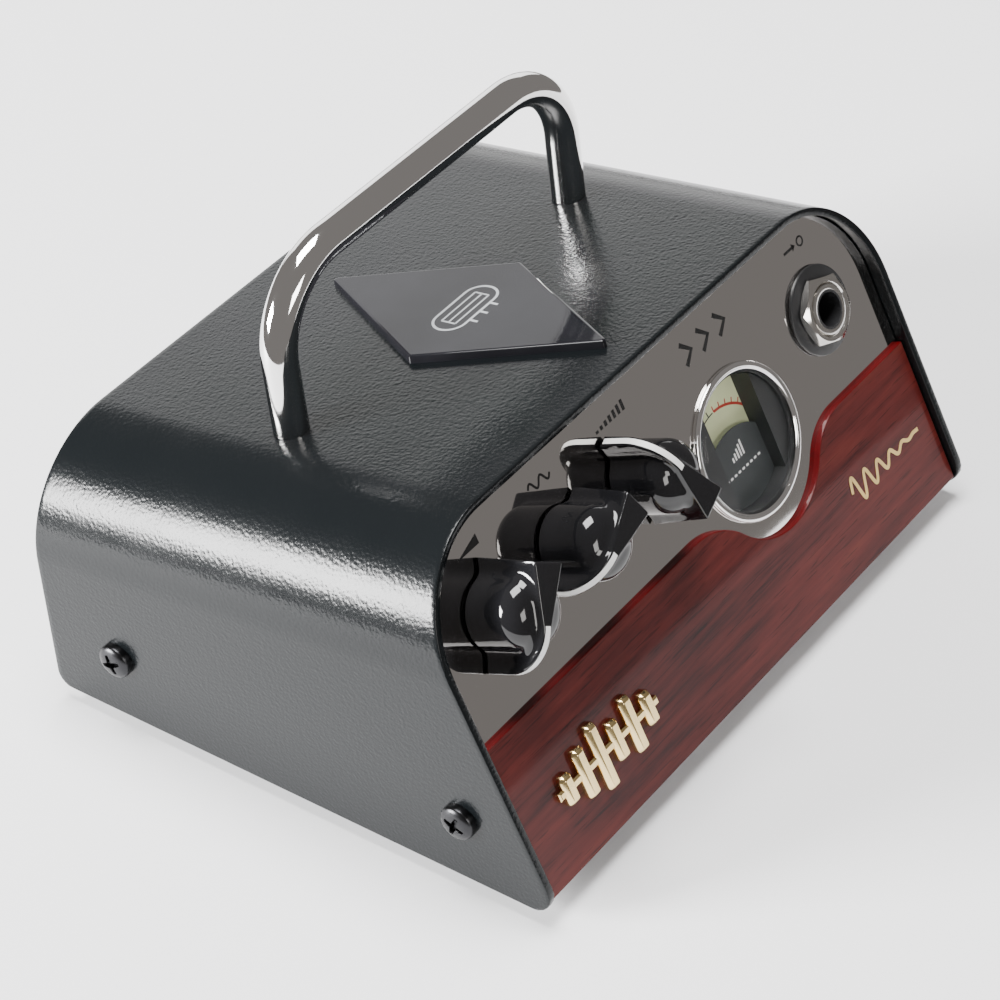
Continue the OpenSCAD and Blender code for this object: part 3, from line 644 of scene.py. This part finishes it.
def handle_path():
    """Left leg up, quarter circle, bar, quarter circle, right leg down, in the handle's plane."""
    bar = HANDLE_HALF - HANDLE_BEND
    leg = HANDLE_RISE - HANDLE_BEND
    left_leg = np.stack([np.full(12, -HANDLE_HALF), np.linspace(0.2, leg, 12)], 1)
    left_bend = arc_points(-bar, leg, HANDLE_BEND, 180, 90, 40)[1:]
    across = np.stack([np.linspace(-bar, bar, 30), np.full(30, HANDLE_RISE)], 1)[1:]
    half = np.concatenate([left_leg, left_bend])
    return np.concatenate([half, across, half[::-1][1:] * [-1, 1]])


flat_path = handle_path()
path = handle_plane.put(np.column_stack([flat_path, np.zeros(len(flat_path))]))
piece("handle_rod", [tube(path, ROD / 2, 64)], stands_for=["handle"], slot="bright_chrome", sharp=50)

# %% [markdown]
# ## Emblem plate
#
# A rhombus of black plastic, its rim softly rounded, lies on the top. Its corners are small
# arcs. The mark on it is a plain drawing of a tube: an envelope, a grid and three pins.

# %% Emblem plate
EMBLEM_HALF = (16.7, 31.2)
EMBLEM_CORNER = 0.8


def rounded_polygon(corners, radius, steps=7):
    """Each corner of an anticlockwise outline becomes an arc that touches both edges."""
    corners = np.asarray(corners, float)
    parts = []
    for here, back, ahead in zip(corners, np.roll(corners, 1, 0), np.roll(corners, -1, 0)):
        u = (back - here) / np.linalg.norm(back - here)
        w = (ahead - here) / np.linalg.norm(ahead - here)
        half = math.acos(np.clip(u @ w, -1, 1)) / 2
        middle = here + (u + w) / np.linalg.norm(u + w) * radius / math.sin(half)
        start = here + u * radius / math.tan(half) - middle
        end = here + w * radius / math.tan(half) - middle
        a0, a1 = math.atan2(start[1], start[0]), math.atan2(end[1], end[0])
        sweep = (a1 - a0 + math.pi) % (2 * math.pi) - math.pi
        a = a0 + sweep * np.linspace(0, 1, steps)
        parts.append(middle + radius * np.stack([np.cos(a), np.sin(a)], 1))
    return np.concatenate(parts)


w, h = EMBLEM_HALF
rhombus = rounded_polygon([(0, -h), (w, 0), (0, h), (-w, 0)], EMBLEM_CORNER)
bevel_levels = [(0.0, 0.0), (0.12, 1.15), (0.2, 1.36), (0.36, 1.46), (0.6, 1.5)]
piece("emblem", [plate(rhombus, top, bevel_levels)], stands_for=["emblem_plate"],
      slot="black_gloss", sharp=25)

mark_plane = top.at(0, 0, EMBLEM_T)


def capsule(length, width, cx=0.0, cy=0.0, steps=16):
    """Outline of a bar with round ends, along x."""
    half, r = length / 2 - width / 2, width / 2
    return np.concatenate([arc_points(cx + half, cy, r, -90, 90, steps),
                           arc_points(cx - half, cy, r, 90, 270, steps)])


tube_mark = [ribbon(capsule(15, 6.4), 0.5, mark_plane, close=True)]
tube_mark += [ribbon([(-5, y), (5, y)], 0.35, mark_plane) for y in (-1.5, 0, 1.5)]
tube_mark += [ribbon([(x, -1.5), (x, 1.5)], 0.35, mark_plane) for x in (-5, 5)]
tube_mark += [ribbon([(x, -3.45), (x, -5.0)], 0.5, mark_plane) for x in (-3, 0, 3)]
marks("emblem_mark", tube_mark, "grey", "black_gloss")

# %% [markdown]
# ## Wood panel
#
# The panel's upper edge runs flat, dips under the meter between two crests, and runs flat
# again. The outline is built from those arcs, so its tangents are right everywhere, and
# the plate maker rounds its front edge. The rim is stained brighter than the face, so the
# rim's points carry a value that the wood's finish reads.

# %% Wood panel
WOOD_T = 1.2
WOOD_HALF = 65.75
WOOD_S0 = 3.3
WOOD_TOP = 33.0
DIP_X = 20.9
DIP_S = 21.4
DIP_R = 15.7
CREST_R = {-1: 15.5, 1: 12.6}


def half_edge(side):
    """From the bottom of the dip outwards: a hollow arc and a crest arc that touch."""
    r = CREST_R[side]
    turn = math.degrees(math.acos(1 - (WOOD_TOP - DIP_S) / (DIP_R + r)))
    hollow = arc_points(0, DIP_S + DIP_R, DIP_R, -90, -90 + turn, 24)
    crest_x = (DIP_R + r) * math.sin(math.radians(turn))
    crest = arc_points(crest_x, WOOD_TOP - r, r, 90 + turn, 90, 24)[1:]
    return np.concatenate([hollow, crest]) * [side, 1] + [DIP_X, 0]


upper = np.concatenate([half_edge(1)[::-1], half_edge(-1)[1:]])
wood_outline = np.concatenate([[(-WOOD_HALF, WOOD_S0), (WOOD_HALF, WOOD_S0), (WOOD_HALF, WOOD_TOP)],
                               upper, [(-WOOD_HALF, WOOD_TOP)]])
wood_levels = rounded_edge(WOOD_T, 0.25, 4)
wood_body = plate(wood_outline, front, wood_levels)
levels = len(wood_levels)
on_rim = np.tile((np.arange(levels) < levels - 2).astype(float), len(wood_outline))
piece("wood_front", [wood_body], stands_for=["wood_panel"], slot="lacquered_wood", sharp=28, rim=on_rim)

# %% [markdown]
# ## Ornaments on the wood
#
# The badge is a row of gold bars on a rail, like a level display. Each bar is a plate with
# a wide bevel, so it catches light on its edges. The thin gold line on the right is a
# painted wave that dies away: a sine whose size falls along its length.

# %% Badge and painted wave
badge_lo, badge_hi = box_mm("badge")
badge_mid = (badge_lo + badge_hi) / 2
BADGE_X, BADGE_S = badge_mid[0], 16.9
BAR_SIZES = (0.45, 0.75, 1.0, 0.6, 0.85, 0.5)
BAR_STEP, BAR_W, BAR_MAX, BAR_H = 4.7, 3.0, 13.0, 1.6
bar_levels = [(0.0, 0.0), (0.0, 0.7), (0.06, 0.85), (0.62, 1.5), (0.75, 1.58), (0.9, BAR_H)]
badge_plane = front.at(BADGE_X, BADGE_S, WOOD_T)
badge_bodies = [plate(rectangle(29, 1.6), badge_plane, [(0, 0), (0, 0.7), (0.25, 0.95), (0.4, 1.0)])]
for i, size in enumerate(BAR_SIZES):
    outline = rectangle(BAR_W, BAR_MAX * size, (i - 2.5) * BAR_STEP, 0, corner=0.95)
    badge_bodies.append(plate(outline, badge_plane, bar_levels))
piece("badge_bars", badge_bodies, stands_for=["badge"], slot="gold", sharp=25)

WAVE_X0, WAVE_X1, WAVE_S = 38.0, 61.0, 16.9
share = np.linspace(0, 1, 160)
wave = np.stack([WAVE_X0 + (WAVE_X1 - WAVE_X0) * share,
                 WAVE_S + 3.0 * (1 - share) ** 1.2 * np.sin(share * 2 * np.pi * 5.5)], 1)
marks("painted_wave", [ribbon(wave, 0.75, front.at(0, 0, WOOD_T), 0.06)], "gold", "lacquered_wood")

# %% [markdown]
# ## Pointer knobs
#
# A pointer knob is a round hub with a thin fin across it. The fin is wide at its tail and
# narrow at its nose, and its ridge rolls down to the plate in a quarter circle. Its faces
# run into the hub in soft hollows. Cutting and bevelling meshes makes such hollows badly.
# So the shape is first a field, a value that is negative inside: one field for the hub,
# one for the fin, joined by a smooth minimum. Every ray from a point inside crosses its
# surface just once, so halving steps along the rays finds all the points together.

# %% Knob field
NOSE, TAIL, KNOB_H = 10.2, 8.8, 12.9
HUB_R, HUB_H, HUB_ROUND = 6.45, 11.8, 3.9
RIDGE_R = 7.6
KNOB_BASE = 0.6
CAVITY_R, CAVITY_Z = 5.7, 3.7
RIDGE_END_X = NOSE - RIDGE_R         # where the flat top ends and the ridge begins to fall


def smooth_min(a, b, k):
    """The smaller of two values, with a rounded change-over of width k."""
    h = np.clip(0.5 + 0.5 * (b - a) / k, 0, 1)
    return b + (a - b) * h - k * h * (1 - h)


def smooth_max(a, b, k):
    return -smooth_min(-a, -b, k)


def rounded_corner(a, b, r):
    """Distance to a quarter plane a<0, b<0 whose corner has radius r (a, b from its edges)."""
    qa, qb = a + r, b + r
    return np.hypot(np.maximum(qa, 0), np.maximum(qb, 0)) + np.minimum(np.maximum(qa, qb), 0) - r


def fin_half_width(x, z):
    """Half the fin's width: a wedge over the flat top, then nearly even along the ridge,
    with a little draft so that it widens towards the base."""
    wedge = 0.9 + np.maximum(RIDGE_END_X - x, 0) * 0.221
    return wedge - 0.02 * np.maximum(x - RIDGE_END_X, 0) + 0.035 * (KNOB_H - z)


def knob_field(x, y, z):
    hub = rounded_corner(np.hypot(x, y) - HUB_R - 0.012 * (HUB_H - z), z - HUB_H, HUB_ROUND)
    ridge = rounded_corner(x - NOSE, z - KNOB_H, RIDGE_R)
    tail = -x - TAIL + 0.054 * z
    sides = (np.abs(y) - fin_half_width(x, z)) * 0.97
    fin = smooth_max(smooth_max(ridge, tail, 0.5), sides, 0.35)
    return smooth_min(hub, fin, 1.5)


def crossing(point_of, far):
    """Halves the step between inside (0) and outside (far) until the field's zero is met."""
    low, high = np.zeros_like(far), far.copy()
    for _ in range(26):
        middle = (low + high) / 2
        inside = knob_field(*point_of(middle)) < 0
        low = np.where(inside, middle, low)
        high = np.where(inside, high, middle)
    return (low + high) / 2


def knob_body(plane, around=340, upward=170):
    """Rays from a point on the axis: first row on the base, last row straight up; below it
    the rim, the hollow's wall and the hollow's roof close the body."""
    u = np.linspace(0, 2 * np.pi, around, endpoint=False)
    # rays are denser towards the nose and the tail, where the fin is thin
    a = u - 0.32 * np.sin(2 * u) / 2
    cos_a, sin_a = np.cos(a), np.sin(a)
    rim = crossing(lambda r: (r * cos_a, r * sin_a, np.full_like(r, KNOB_BASE)), np.full(around, 16.0))
    eye = 4.6
    low_tilt = np.arctan2(KNOB_BASE - eye, rim)[:, None]
    v = np.linspace(0, 1, upward)[None, :]
    tilt = low_tilt + (np.pi / 2 - low_tilt) * v
    flat, rise = np.cos(tilt), np.sin(tilt)
    ca, sa = cos_a[:, None], sin_a[:, None]
    r = crossing(lambda r: (r * flat * ca, r * flat * sa, eye + r * rise), np.full(tilt.shape, 16.0))
    outer = np.stack([r * flat * ca, r * flat * sa, eye + r * rise], -1)
    outer[:, 0, 2] = KNOB_BASE
    under = [(0.0, CAVITY_Z), (CAVITY_R, CAVITY_Z), (CAVITY_R, KNOB_BASE)]
    below = np.stack([np.stack([q * cos_a, q * sin_a, np.full(around, z)], -1) for q, z in under], 1)
    return grid_solid(plane.put(np.concatenate([below, outer], 1)), close_rows=True)


def pointer_line(plane):
    """The white line: a ribbon down the ridge, just proud of it, from the flat to the base."""
    start = np.array([[RIDGE_END_X - 0.4, KNOB_H]])
    curve = arc_points(RIDGE_END_X, KNOB_H - RIDGE_R, RIDGE_R, 90, 0, 40)
    end = np.array([[NOSE, KNOB_BASE + 0.3]])
    line = np.concatenate([start, curve, end])
    step = np.gradient(line, axis=0)
    out = np.stack([-step[:, 1], step[:, 0]], 1) / np.linalg.norm(step, axis=1)[:, None]
    half = 0.55
    rows = []
    for side, lift in ((-half, -0.25), (half, -0.25), (half, 0.04), (-half, 0.04)):
        xz = line + out * lift
        rows.append(np.stack([xz[:, 0], np.full(len(xz), side), xz[:, 1]], -1))
    return grid_solid(plane.put(np.stack(rows, 0)), close_rows=True)


# %% Knobs
# where each nose points at rest, in degrees from the right, on the plate
KNOB_TURNS = {"gain": 90 - 214, "tone": 90 - 247, "volume": 90 - 338}
for name, turn in KNOB_TURNS.items():
    place = np.array(joints[f"{name}_turn"]["pos_m"]) / MM
    knob_plane = front.at(place[0], KNOB_S, 0, math.radians(turn))
    piece(f"{name}_pointer_knob", [knob_body(knob_plane)], body=f"{name}_control",
          stands_for=[f"{name}_knob"], slot="knob_plastic", sharp=40)
    marks(f"{name}_pointer_line", [pointer_line(knob_plane)], "white", "knob_plastic", f"{name}_control")

# %% [markdown]
# ## Output meter
#
# A bright turned ring holds a clear lens. Well behind it lie the cream dial with its
# scale, a needle, and a dark mask that hides the needle's pivot. The dial's two sides are
# cut straight, and black blocks beside them are painted shade for the dial's unlit zones.
# The lens is thin and a little domed: a flat disc would flash all at once.

# %% Meter places
METER_S = 40.1
PIVOT_S = -5.2
DIAL_Z, MASK_Z = -4.7, -3.2
DIAL_HALF = 7.4
WELL_R = 12.2
bezel_lo, bezel_hi = box_mm("meter_bezel")
METER_X = (bezel_lo[0] + bezel_hi[0]) / 2
meter = front.at(METER_X, METER_S)

# %% Bezel and lens
bezel_profile = np.concatenate([
    [(13.3, 0.0), (14.3, 0.0)], arc_points(13.95, 0.45, 0.45, -45, 90, 12),
    arc_points(13.5, 0.55, 0.35, 90, 150, 6), [(12.9, 0.62), (12.9, 0.5), (13.3, 0.5)]])
piece("bezel_ring", [turned(bezel_profile, meter, 160, closed=True)], stands_for=["meter_bezel"],
      slot="bright_chrome", sharp=40)
LENS_R, LENS_TOP_R, LENS_H = 12.85, 10.4, 1.5
steps = np.linspace(0, 1, 14)
shoulder = np.stack([LENS_R - 0.1 - (LENS_R - 0.1 - LENS_TOP_R) * steps,
                     0.45 + 0.85 * np.sin(steps * np.pi / 2)], 1)
rim_step = [(LENS_TOP_R - 0.05, 1.42), (LENS_TOP_R - 0.25, LENS_H - 0.02)]
crown = np.stack([(LENS_TOP_R - 0.25) * (1 - steps), LENS_H + 0.25 * (1 - (1 - steps) ** 2)], 1)
lens_profile = np.concatenate([[(0, 0.1), (LENS_R, 0.1)], shoulder, rim_step, crown])
piece("lens", [turned(lens_profile, meter, 128)], stands_for=["meter_lens"], slot="clear_glass", sharp=28)

# %% Dial, painted shade blocks and mask
# the dial is a disc cut by two straight sides; the cuts meet the circle at this angle
CUT = math.degrees(math.acos(DIAL_HALF / WELL_R))
dial_outline = np.concatenate([arc_points(0, 0, WELL_R, CUT, 180 - CUT, 24),
                               arc_points(0, 0, WELL_R, 180 + CUT, 360 - CUT, 24)])
piece("dial", [plate(dial_outline, meter.at(0, 0, DIAL_Z), [(0.0, -0.3), (0.0, 0.0)])],
      stands_for=["meter_dial"], slot="dial_card")
# black blocks beside the dial's straight sides: painted shade standing in for the dial's unlit zones
shade_blocks = []
for side in (-1, 1):
    segment = arc_points(0, 0, WELL_R, -CUT, CUT, 30) * [side, 1]
    segment = segment if side > 0 else segment[::-1]
    shade_blocks.append(plate(segment, meter, [(0.0, DIAL_Z - 0.3), (0.0, -0.5)]))
piece("meter_painted_shade", shade_blocks, slot="black_plastic")

MASK_R, MASK_S, MASK_SPREAD = 12.0, -9.8, 37.5
mask_arc = arc_points(0, MASK_S, MASK_R, 90 - MASK_SPREAD, 90 + MASK_SPREAD, 40)
mask_shape = np.concatenate([mask_arc, arc_points(0, 0, WELL_R, 180 + CUT, 360 - CUT, 30)])
piece("mask", [plate(mask_shape, meter.at(0, 0, MASK_Z), [(0.0, -0.2), (0.0, 0.0)])],
      stands_for=["meter_mask"], slot="meter_grey")

# %% Scale
SCALE_R = 11.0
scale_plane = meter.at(0, PIVOT_S + 0.5, DIAL_Z)
black_scale = [ribbon(arc_points(0, 0, SCALE_R, 135, 92, 40), 0.22, scale_plane, 0.03)]
red_scale = [ribbon(arc_points(0, 0, SCALE_R, 90, 45, 40), 0.5, scale_plane, 0.03)]
for degree in range(135, 44, -9):
    a = math.radians(degree)
    tick = np.array([[SCALE_R, 0], [SCALE_R + 1.1, 0]]) @ np.array([[math.cos(a), math.sin(a)],
                                                                   [-math.sin(a), math.cos(a)]])
    (black_scale if degree > 90 else red_scale).append(ribbon(tick, 0.25, scale_plane, 0.03))
marks("dial_scale", black_scale, "black", "dial_card")
marks("dial_red_scale", red_scale, "red", "dial_card")
mask_top = meter.at(0, 0, MASK_Z)
mask_marks = [plate(rectangle(0.42, 0.9 + 0.5 * i, -1.6 + 0.8 * i, -2.9 + 0.25 * i), mask_top,
                    [(0, 0), (0, 0.03)]) for i in range(5)]
mask_marks += [plate(rectangle(0.7, 0.42, x, -5.5), mask_top, [(0, 0), (0, 0.03)])
               for x in np.linspace(-5, 5, 9)]
marks("mask_marks", mask_marks, "white", "meter_grey")

# %% Needle
NEEDLE_TURN = math.radians(45)
needle_plane = meter.at(0, PIVOT_S, DIAL_Z + 0.7, NEEDLE_TURN)
needle_side = np.array([(0.35, -3.0), (0.3, 6.0), (0.10, 13.2)])
needle_outline = np.concatenate([needle_side, needle_side[::-1] * [-1, 1]])
needle_bodies = [plate(needle_outline, needle_plane, [(0, 0), (0, 0.16)]),
                 turned([(0, -1.3), (0.5, -1.3), (0.5, 0), (1.1, 0), (1.1, 0.25), (0, 0.3)],
                        needle_plane, 32)]
piece("needle", needle_bodies, body="needle", stands_for=["meter_needle"], slot="needle_black")

# %% [markdown]
# ## Jack, nuts and washers
#
# A hexagon nut isn't a plain prism: its faces are cut back by a cone, which leaves a round
# flat on each end and curved corners. In polar form it is easy: the radius of a hexagon
# depends on the angle, and the cone's height depends on the radius.

# %% Nuts and washers
def hex_nut(plane, across, height, hole, count=144):
    """Hexagon radius a / cos(angle from the nearest face's middle); both ends fall away by a
    30 degree cone outside the circle that touches the flats."""
    a = ring_angles(count)
    inner = across / 2
    hexagon = inner / np.cos((a + np.pi / 6) % (np.pi / 3) - np.pi / 6)
    circle = np.full(count, inner * 0.96)
    fall = (hexagon - circle) * math.tan(math.radians(30))
    one = np.ones(count)
    levels = [(hole * one, 0.35 * one), ((hole + 0.35) * one, 0 * one), (circle, 0 * one),
              (hexagon, fall), (hexagon, height - fall), (circle, height * one),
              ((hole + 0.45) * one, height * one), (hole * one, (height - 0.45) * one)]
    grid = np.stack([np.stack([r * np.cos(a), r * np.sin(a), z], -1) for r, z in levels], 1)
    return grid_solid(plane.put(grid), close_rows=True, close_cols=True)


def washer(plane, outer, hole, height, edge=0.3):
    return turned([(hole, 0), (outer - edge, 0), (outer, edge), (outer, height - edge),
                   (outer - edge * 0.3, height - edge * 0.3), (outer - edge, height),
                   (hole + edge, height), (hole, height - edge)], plane, 96, closed=True)


JACK_HOLE = 3.2
JACK_S = 49.6
mounts = {m["name"]: m for m in record["mounts"]}
jack_x = mounts["input_jack_bore"]["pos_m"][0] / MM
jack = front.at(jack_x, JACK_S)
piece("jack_washer", [washer(jack, 8.4, 4.7, 0.9, 0.35)], stands_for=["input_jack_washer"],
      slot="black_plastic")
piece("jack_nut", [hex_nut(jack.at(0, 0, 0.9, math.radians(12)), 12, 2.0, 4.65)],
      stands_for=["input_jack_nut"], slot="nickel", sharp=20)
piece("jack_collar", [turned([(JACK_HOLE + 0.02, 1.5), (4.63, 1.5), (4.63, 2.86), (4.5, 2.92),
                              (3.7, 2.92), (3.45, 2.8), (JACK_HOLE + 0.02, 2.4)], jack, 96, closed=True)],
      slot="nickel", sharp=30)

rear_places = {}
for name in ("speaker", "headphone"):
    pos = np.array(mounts[f"{name}_jack_bore"]["pos_m"]) / MM
    rear_places[name] = rear.at(-pos[0], pos[2])
piece("rear_washers", [washer(p, 7.2, 4.7, 0.8, 0.15) for p in rear_places.values()],
      stands_for=["rear_jack_washers"], slot="nickel")
piece("rear_nuts", [hex_nut(p.at(0, 0, 0.8, 0.3 * i), 12, 2.4, 4.65)
                    for i, p in enumerate(rear_places.values())],
      stands_for=["rear_jack_nuts"], slot="nickel", sharp=20)

# %% [markdown]
# ## Cross-head screws
#
# A pan head is a low dome with a cross pressed into it. The dome is a polar grid, and the
# cross is a change of its height: deep where a point is near either arm, with sloping
# walls. So one grid makes the whole head, and one function makes every screw.

# %% Screws
def pan_head(plane, radius, height, around=128, inward=44):
    """Wall, then a dome: height minus the drop of a flattened circle, minus the cross."""
    a = ring_angles(around)[:, None]
    share = np.linspace(1, 0, inward)[None, :]
    r = radius * share + 0 * a
    dome = height * (0.45 + 0.55 * np.sqrt(np.maximum(1 - share**2.6, 0))) + 0 * a
    x, y = r * np.cos(a), r * np.sin(a)
    near, far = np.minimum(np.abs(x), np.abs(y)), np.maximum(np.abs(x), np.abs(y))
    arm = 0.15 * radius * (1.25 - 0.6 * far / (0.6 * radius))
    inside = np.clip((arm - near) / (0.05 * radius), 0, 1)
    inside = inside * np.clip((0.6 * radius - far) / (0.08 * radius), 0, 1)
    z = dome - inside * height * 0.55 * (1 - 0.5 * far / radius)
    head = np.stack([x, y, z], -1)
    foot = np.stack([np.stack([q * np.cos(a[:, 0]), q * np.sin(a[:, 0]), 0 * a[:, 0]], -1)
                     for q in (0.0, radius)], 1)
    return grid_solid(plane.put(np.concatenate([foot, head], 1)), close_rows=True)


SIDE_SCREW_Y = (19.6, 94.8)
SIDE_SCREW_Z = 13.6
side_screws = []
for side in (-1, 1):
    for i, y in enumerate(SIDE_SCREW_Y):
        spot = [side * half_width, front_foot + y, cover_lo[2] + SIDE_SCREW_Z]
        facing = Plane(spot, [0, -side, 0], [0, 0, 1], [side, 0, 0])
        side_screws.append(pan_head(facing.at(0, 0, 0, 0.35 + 0.8 * i), 3.35, 2.25))
piece("side_screw_heads", side_screws, stands_for=["cover_screws"], slot="black_screw", sharp=30)
rear_screw_lo, rear_screw_hi = box_mm("rear_screws")
REAR_SCREW_X = 60.0
rear_screw_z = (rear_screw_lo[2] + rear_screw_hi[2]) / 2
piece("rear_screw_heads", [pan_head(rear.at(side * REAR_SCREW_X, rear_screw_z, 0, 0.4), 2.8, 1.8)
                           for side in (-1, 1)],
      stands_for=["rear_screws"], slot="black_screw", sharp=30)

# %% [markdown]
# ## Marks on the plates
#
# Small symbols stand over the controls: a growing wedge, a wave, rising bars and an arrow
# into a ring. Behind, each fitting has one too. They are thin flat solids.

# %% Front marks
LABEL_S = 62.6
panel = front.at(0, 0, 0)


def filled(outline, plane, height=0.03):
    return plate(outline, plane, [(0.0, 0.0), (0.0, height)])


def bars(plane, cx, cy, count, width, step, low, high, height=0.03):
    """Upright bars on one line, each taller than the last."""
    made = []
    for i in range(count):
        tall = low + (high - low) * i / (count - 1)
        outline = rectangle(width, tall, cx + (i - (count - 1) / 2) * step, cy - high / 2 + tall / 2)
        made.append(filled(outline, plane, height))
    return made


gain_x, tone_x, volume_x = (joints[f"{n}_turn"]["pos_m"][0] / MM for n in KNOB_TURNS)
wedge = np.array([(-3, -0.9), (3, -0.9), (3, 0.9)]) + [gain_x + 0.8, LABEL_S]
wave_x = np.linspace(-3, 3, 60)
tone_wave = np.stack([tone_x + 0.5 + wave_x, LABEL_S + 0.8 * np.sin(wave_x * np.pi / 1.5)], 1)
front_marks = [filled(wedge, panel), ribbon(tone_wave, 0.42, panel, 0.03)]
front_marks += bars(panel, volume_x + 0.4, LABEL_S, 7, 0.7, 1.3, 0.5, 2.0)
arrow_head = np.array([(0, 0.75), (0, -0.75), (1.0, 0)])
socket_ring = arc_points(jack_x + 2.4, LABEL_S, 0.85, 0, 360, 33)[:-1]
front_marks += [ribbon(socket_ring, 0.36, panel, 0.03, close=True),
                filled(rectangle(3.2, 0.5, jack_x - 1.2, LABEL_S), panel),
                filled(arrow_head + [jack_x - 0.2, LABEL_S], panel)]
MODEL_X, MODEL_S, MODEL_H = 19.8, 61.4, 4.2
for i in range(3):
    cx = MODEL_X + (i - 1) * 5.2
    chevron = np.array([(-1.9, -MODEL_H / 2), (0.6, 0), (-1.9, MODEL_H / 2)]) + [cx, MODEL_S]
    front_marks.append(ribbon(chevron, 0.95, panel, 0.03))
marks("front_marks", front_marks, "black", "mirror_plate")

# %% Rear marks
rear_marks = []
for name, p in rear_places.items():
    rear_marks += bars(p.at(0, 9.6), 0, 0, 4, 0.6, 1.1, 0.5, 1.8)
marks("rear_marks", rear_marks, "white", "rear_paint")

# %% [markdown]
# ## Rocker and slide switches
#
# The rocker's face is hollow along its length, and its two ends are drawn in a little,
# which breaks their edges. The three slide switches keep their CAD shape.

# %% Rocker
rocker_joint = joints["rocker_tilt"]
rocker_pin = np.array(rocker_joint["pos_m"]) / MM
ROCKER_TILT = math.radians(10)
c, s = math.cos(ROCKER_TILT), math.sin(ROCKER_TILT)
# seen along x: a to the outside, b up, turned by the rest tilt
rocker_plane = Plane(rocker_pin, [0, c, s], [0, -s, c], [1, 0, 0])
hollow = arc_points(3.9 + 15.6, 0, 15.6, 180 + 27, 180 - 27, 24)
rocker_outline = np.concatenate([[(-1.6, 6.0), (-1.6, -6.0)], hollow])
rocker_levels = [(0.35, -4.9), (0.0, -4.55), (0.0, 4.55), (0.35, 4.9)]
piece("rocker_cap", [plate(rocker_outline, rocker_plane, rocker_levels),
                     turned([(0, -5.9), (1, -5.9), (1, 5.9), (0, 5.9)], rocker_plane, 32)],
      body="rocker", stands_for=["power_rocker"], slot="black_plastic", sharp=30)

# %% [markdown]
# ## Floor and light
#
# The floor is one pale sheet that ends not far in front, so that the mirror-like plate
# sees the dim room beyond it. A soft light hangs over the object, a pale wall and a window
# stand behind it, and a weak light fills in from the front.

# %% Floor
FLOOR_R = 330.0
FLOOR_MIDDLE = (45.0, 125.0)
turn = ring_angles(160)
floor_grid = np.stack([np.stack([FLOOR_MIDDLE[0] + r * np.cos(turn), FLOOR_MIDDLE[1] + r * np.sin(turn),
                                 0 * turn], -1) for r in (0.0, FLOOR_R)], 1)
floor_mesh = bpy.data.meshes.new("floor")
floor_mesh.from_pydata((floor_grid.reshape(-1, 3) * MM).tolist(), [],
                       grid_faces(160, 2, close_rows=True).tolist())
weld(floor_mesh)
floor = bpy.data.objects.new("floor", floor_mesh)
bpy.context.scene.collection.objects.link(floor)
paper = Tree("floor_paper", Base_Color=(0.86, 0.86, 0.87, 1), Roughness=0.6)
paper.join(paper.bump(paper.noise(400, 2), 0.0001, 0.1), "Normal")
floor_mesh.materials.append(paper.material)


# %% Lights
def soft_light(name, place, target, size, power, color=(1, 1, 1)):
    """A rectangular area light at a place, turned to face a target (mm)."""
    data = bpy.data.lights.new(name, "AREA")
    data.shape = "RECTANGLE"
    data.energy = power
    data.size, data.size_y = (v * MM for v in size)
    data.color = color
    light = bpy.data.objects.new(name, data)
    light.location = [v * MM for v in place]
    aim = Vector([(t - p) * MM for t, p in zip(target, place)])
    light.rotation_euler = aim.to_track_quat("-Z", "Y").to_euler()
    bpy.context.scene.collection.objects.link(light)
    return light


# over the object: lights the floor evenly, and is hardly seen in the gloss
soft_light("overhead", (60, 120, 1250), (30, 40, 0), (650, 650), 36.0)
# a tall pale wall behind on the right, and a brighter window behind on the left
soft_light("back_wall", (900, 950, 330), (0, 0, 60), (1500, 700), 8.0)
soft_light("window", (-1000, 820, 380), (0, 0, 60), (520, 420), 80.0)
soft_light("front_fill", (-250, -1200, 500), (0, 0, 40), (500, 400), 6.0, (1, 0.98, 0.95))

world = bpy.data.worlds.new("room")
bpy.context.scene.world = world
world.use_nodes = True
background = world.node_tree.nodes["Background"]
background.inputs["Color"].default_value = (0.215, 0.203, 0.195, 1)
background.inputs["Strength"].default_value = 1.0
print("lights: 4")
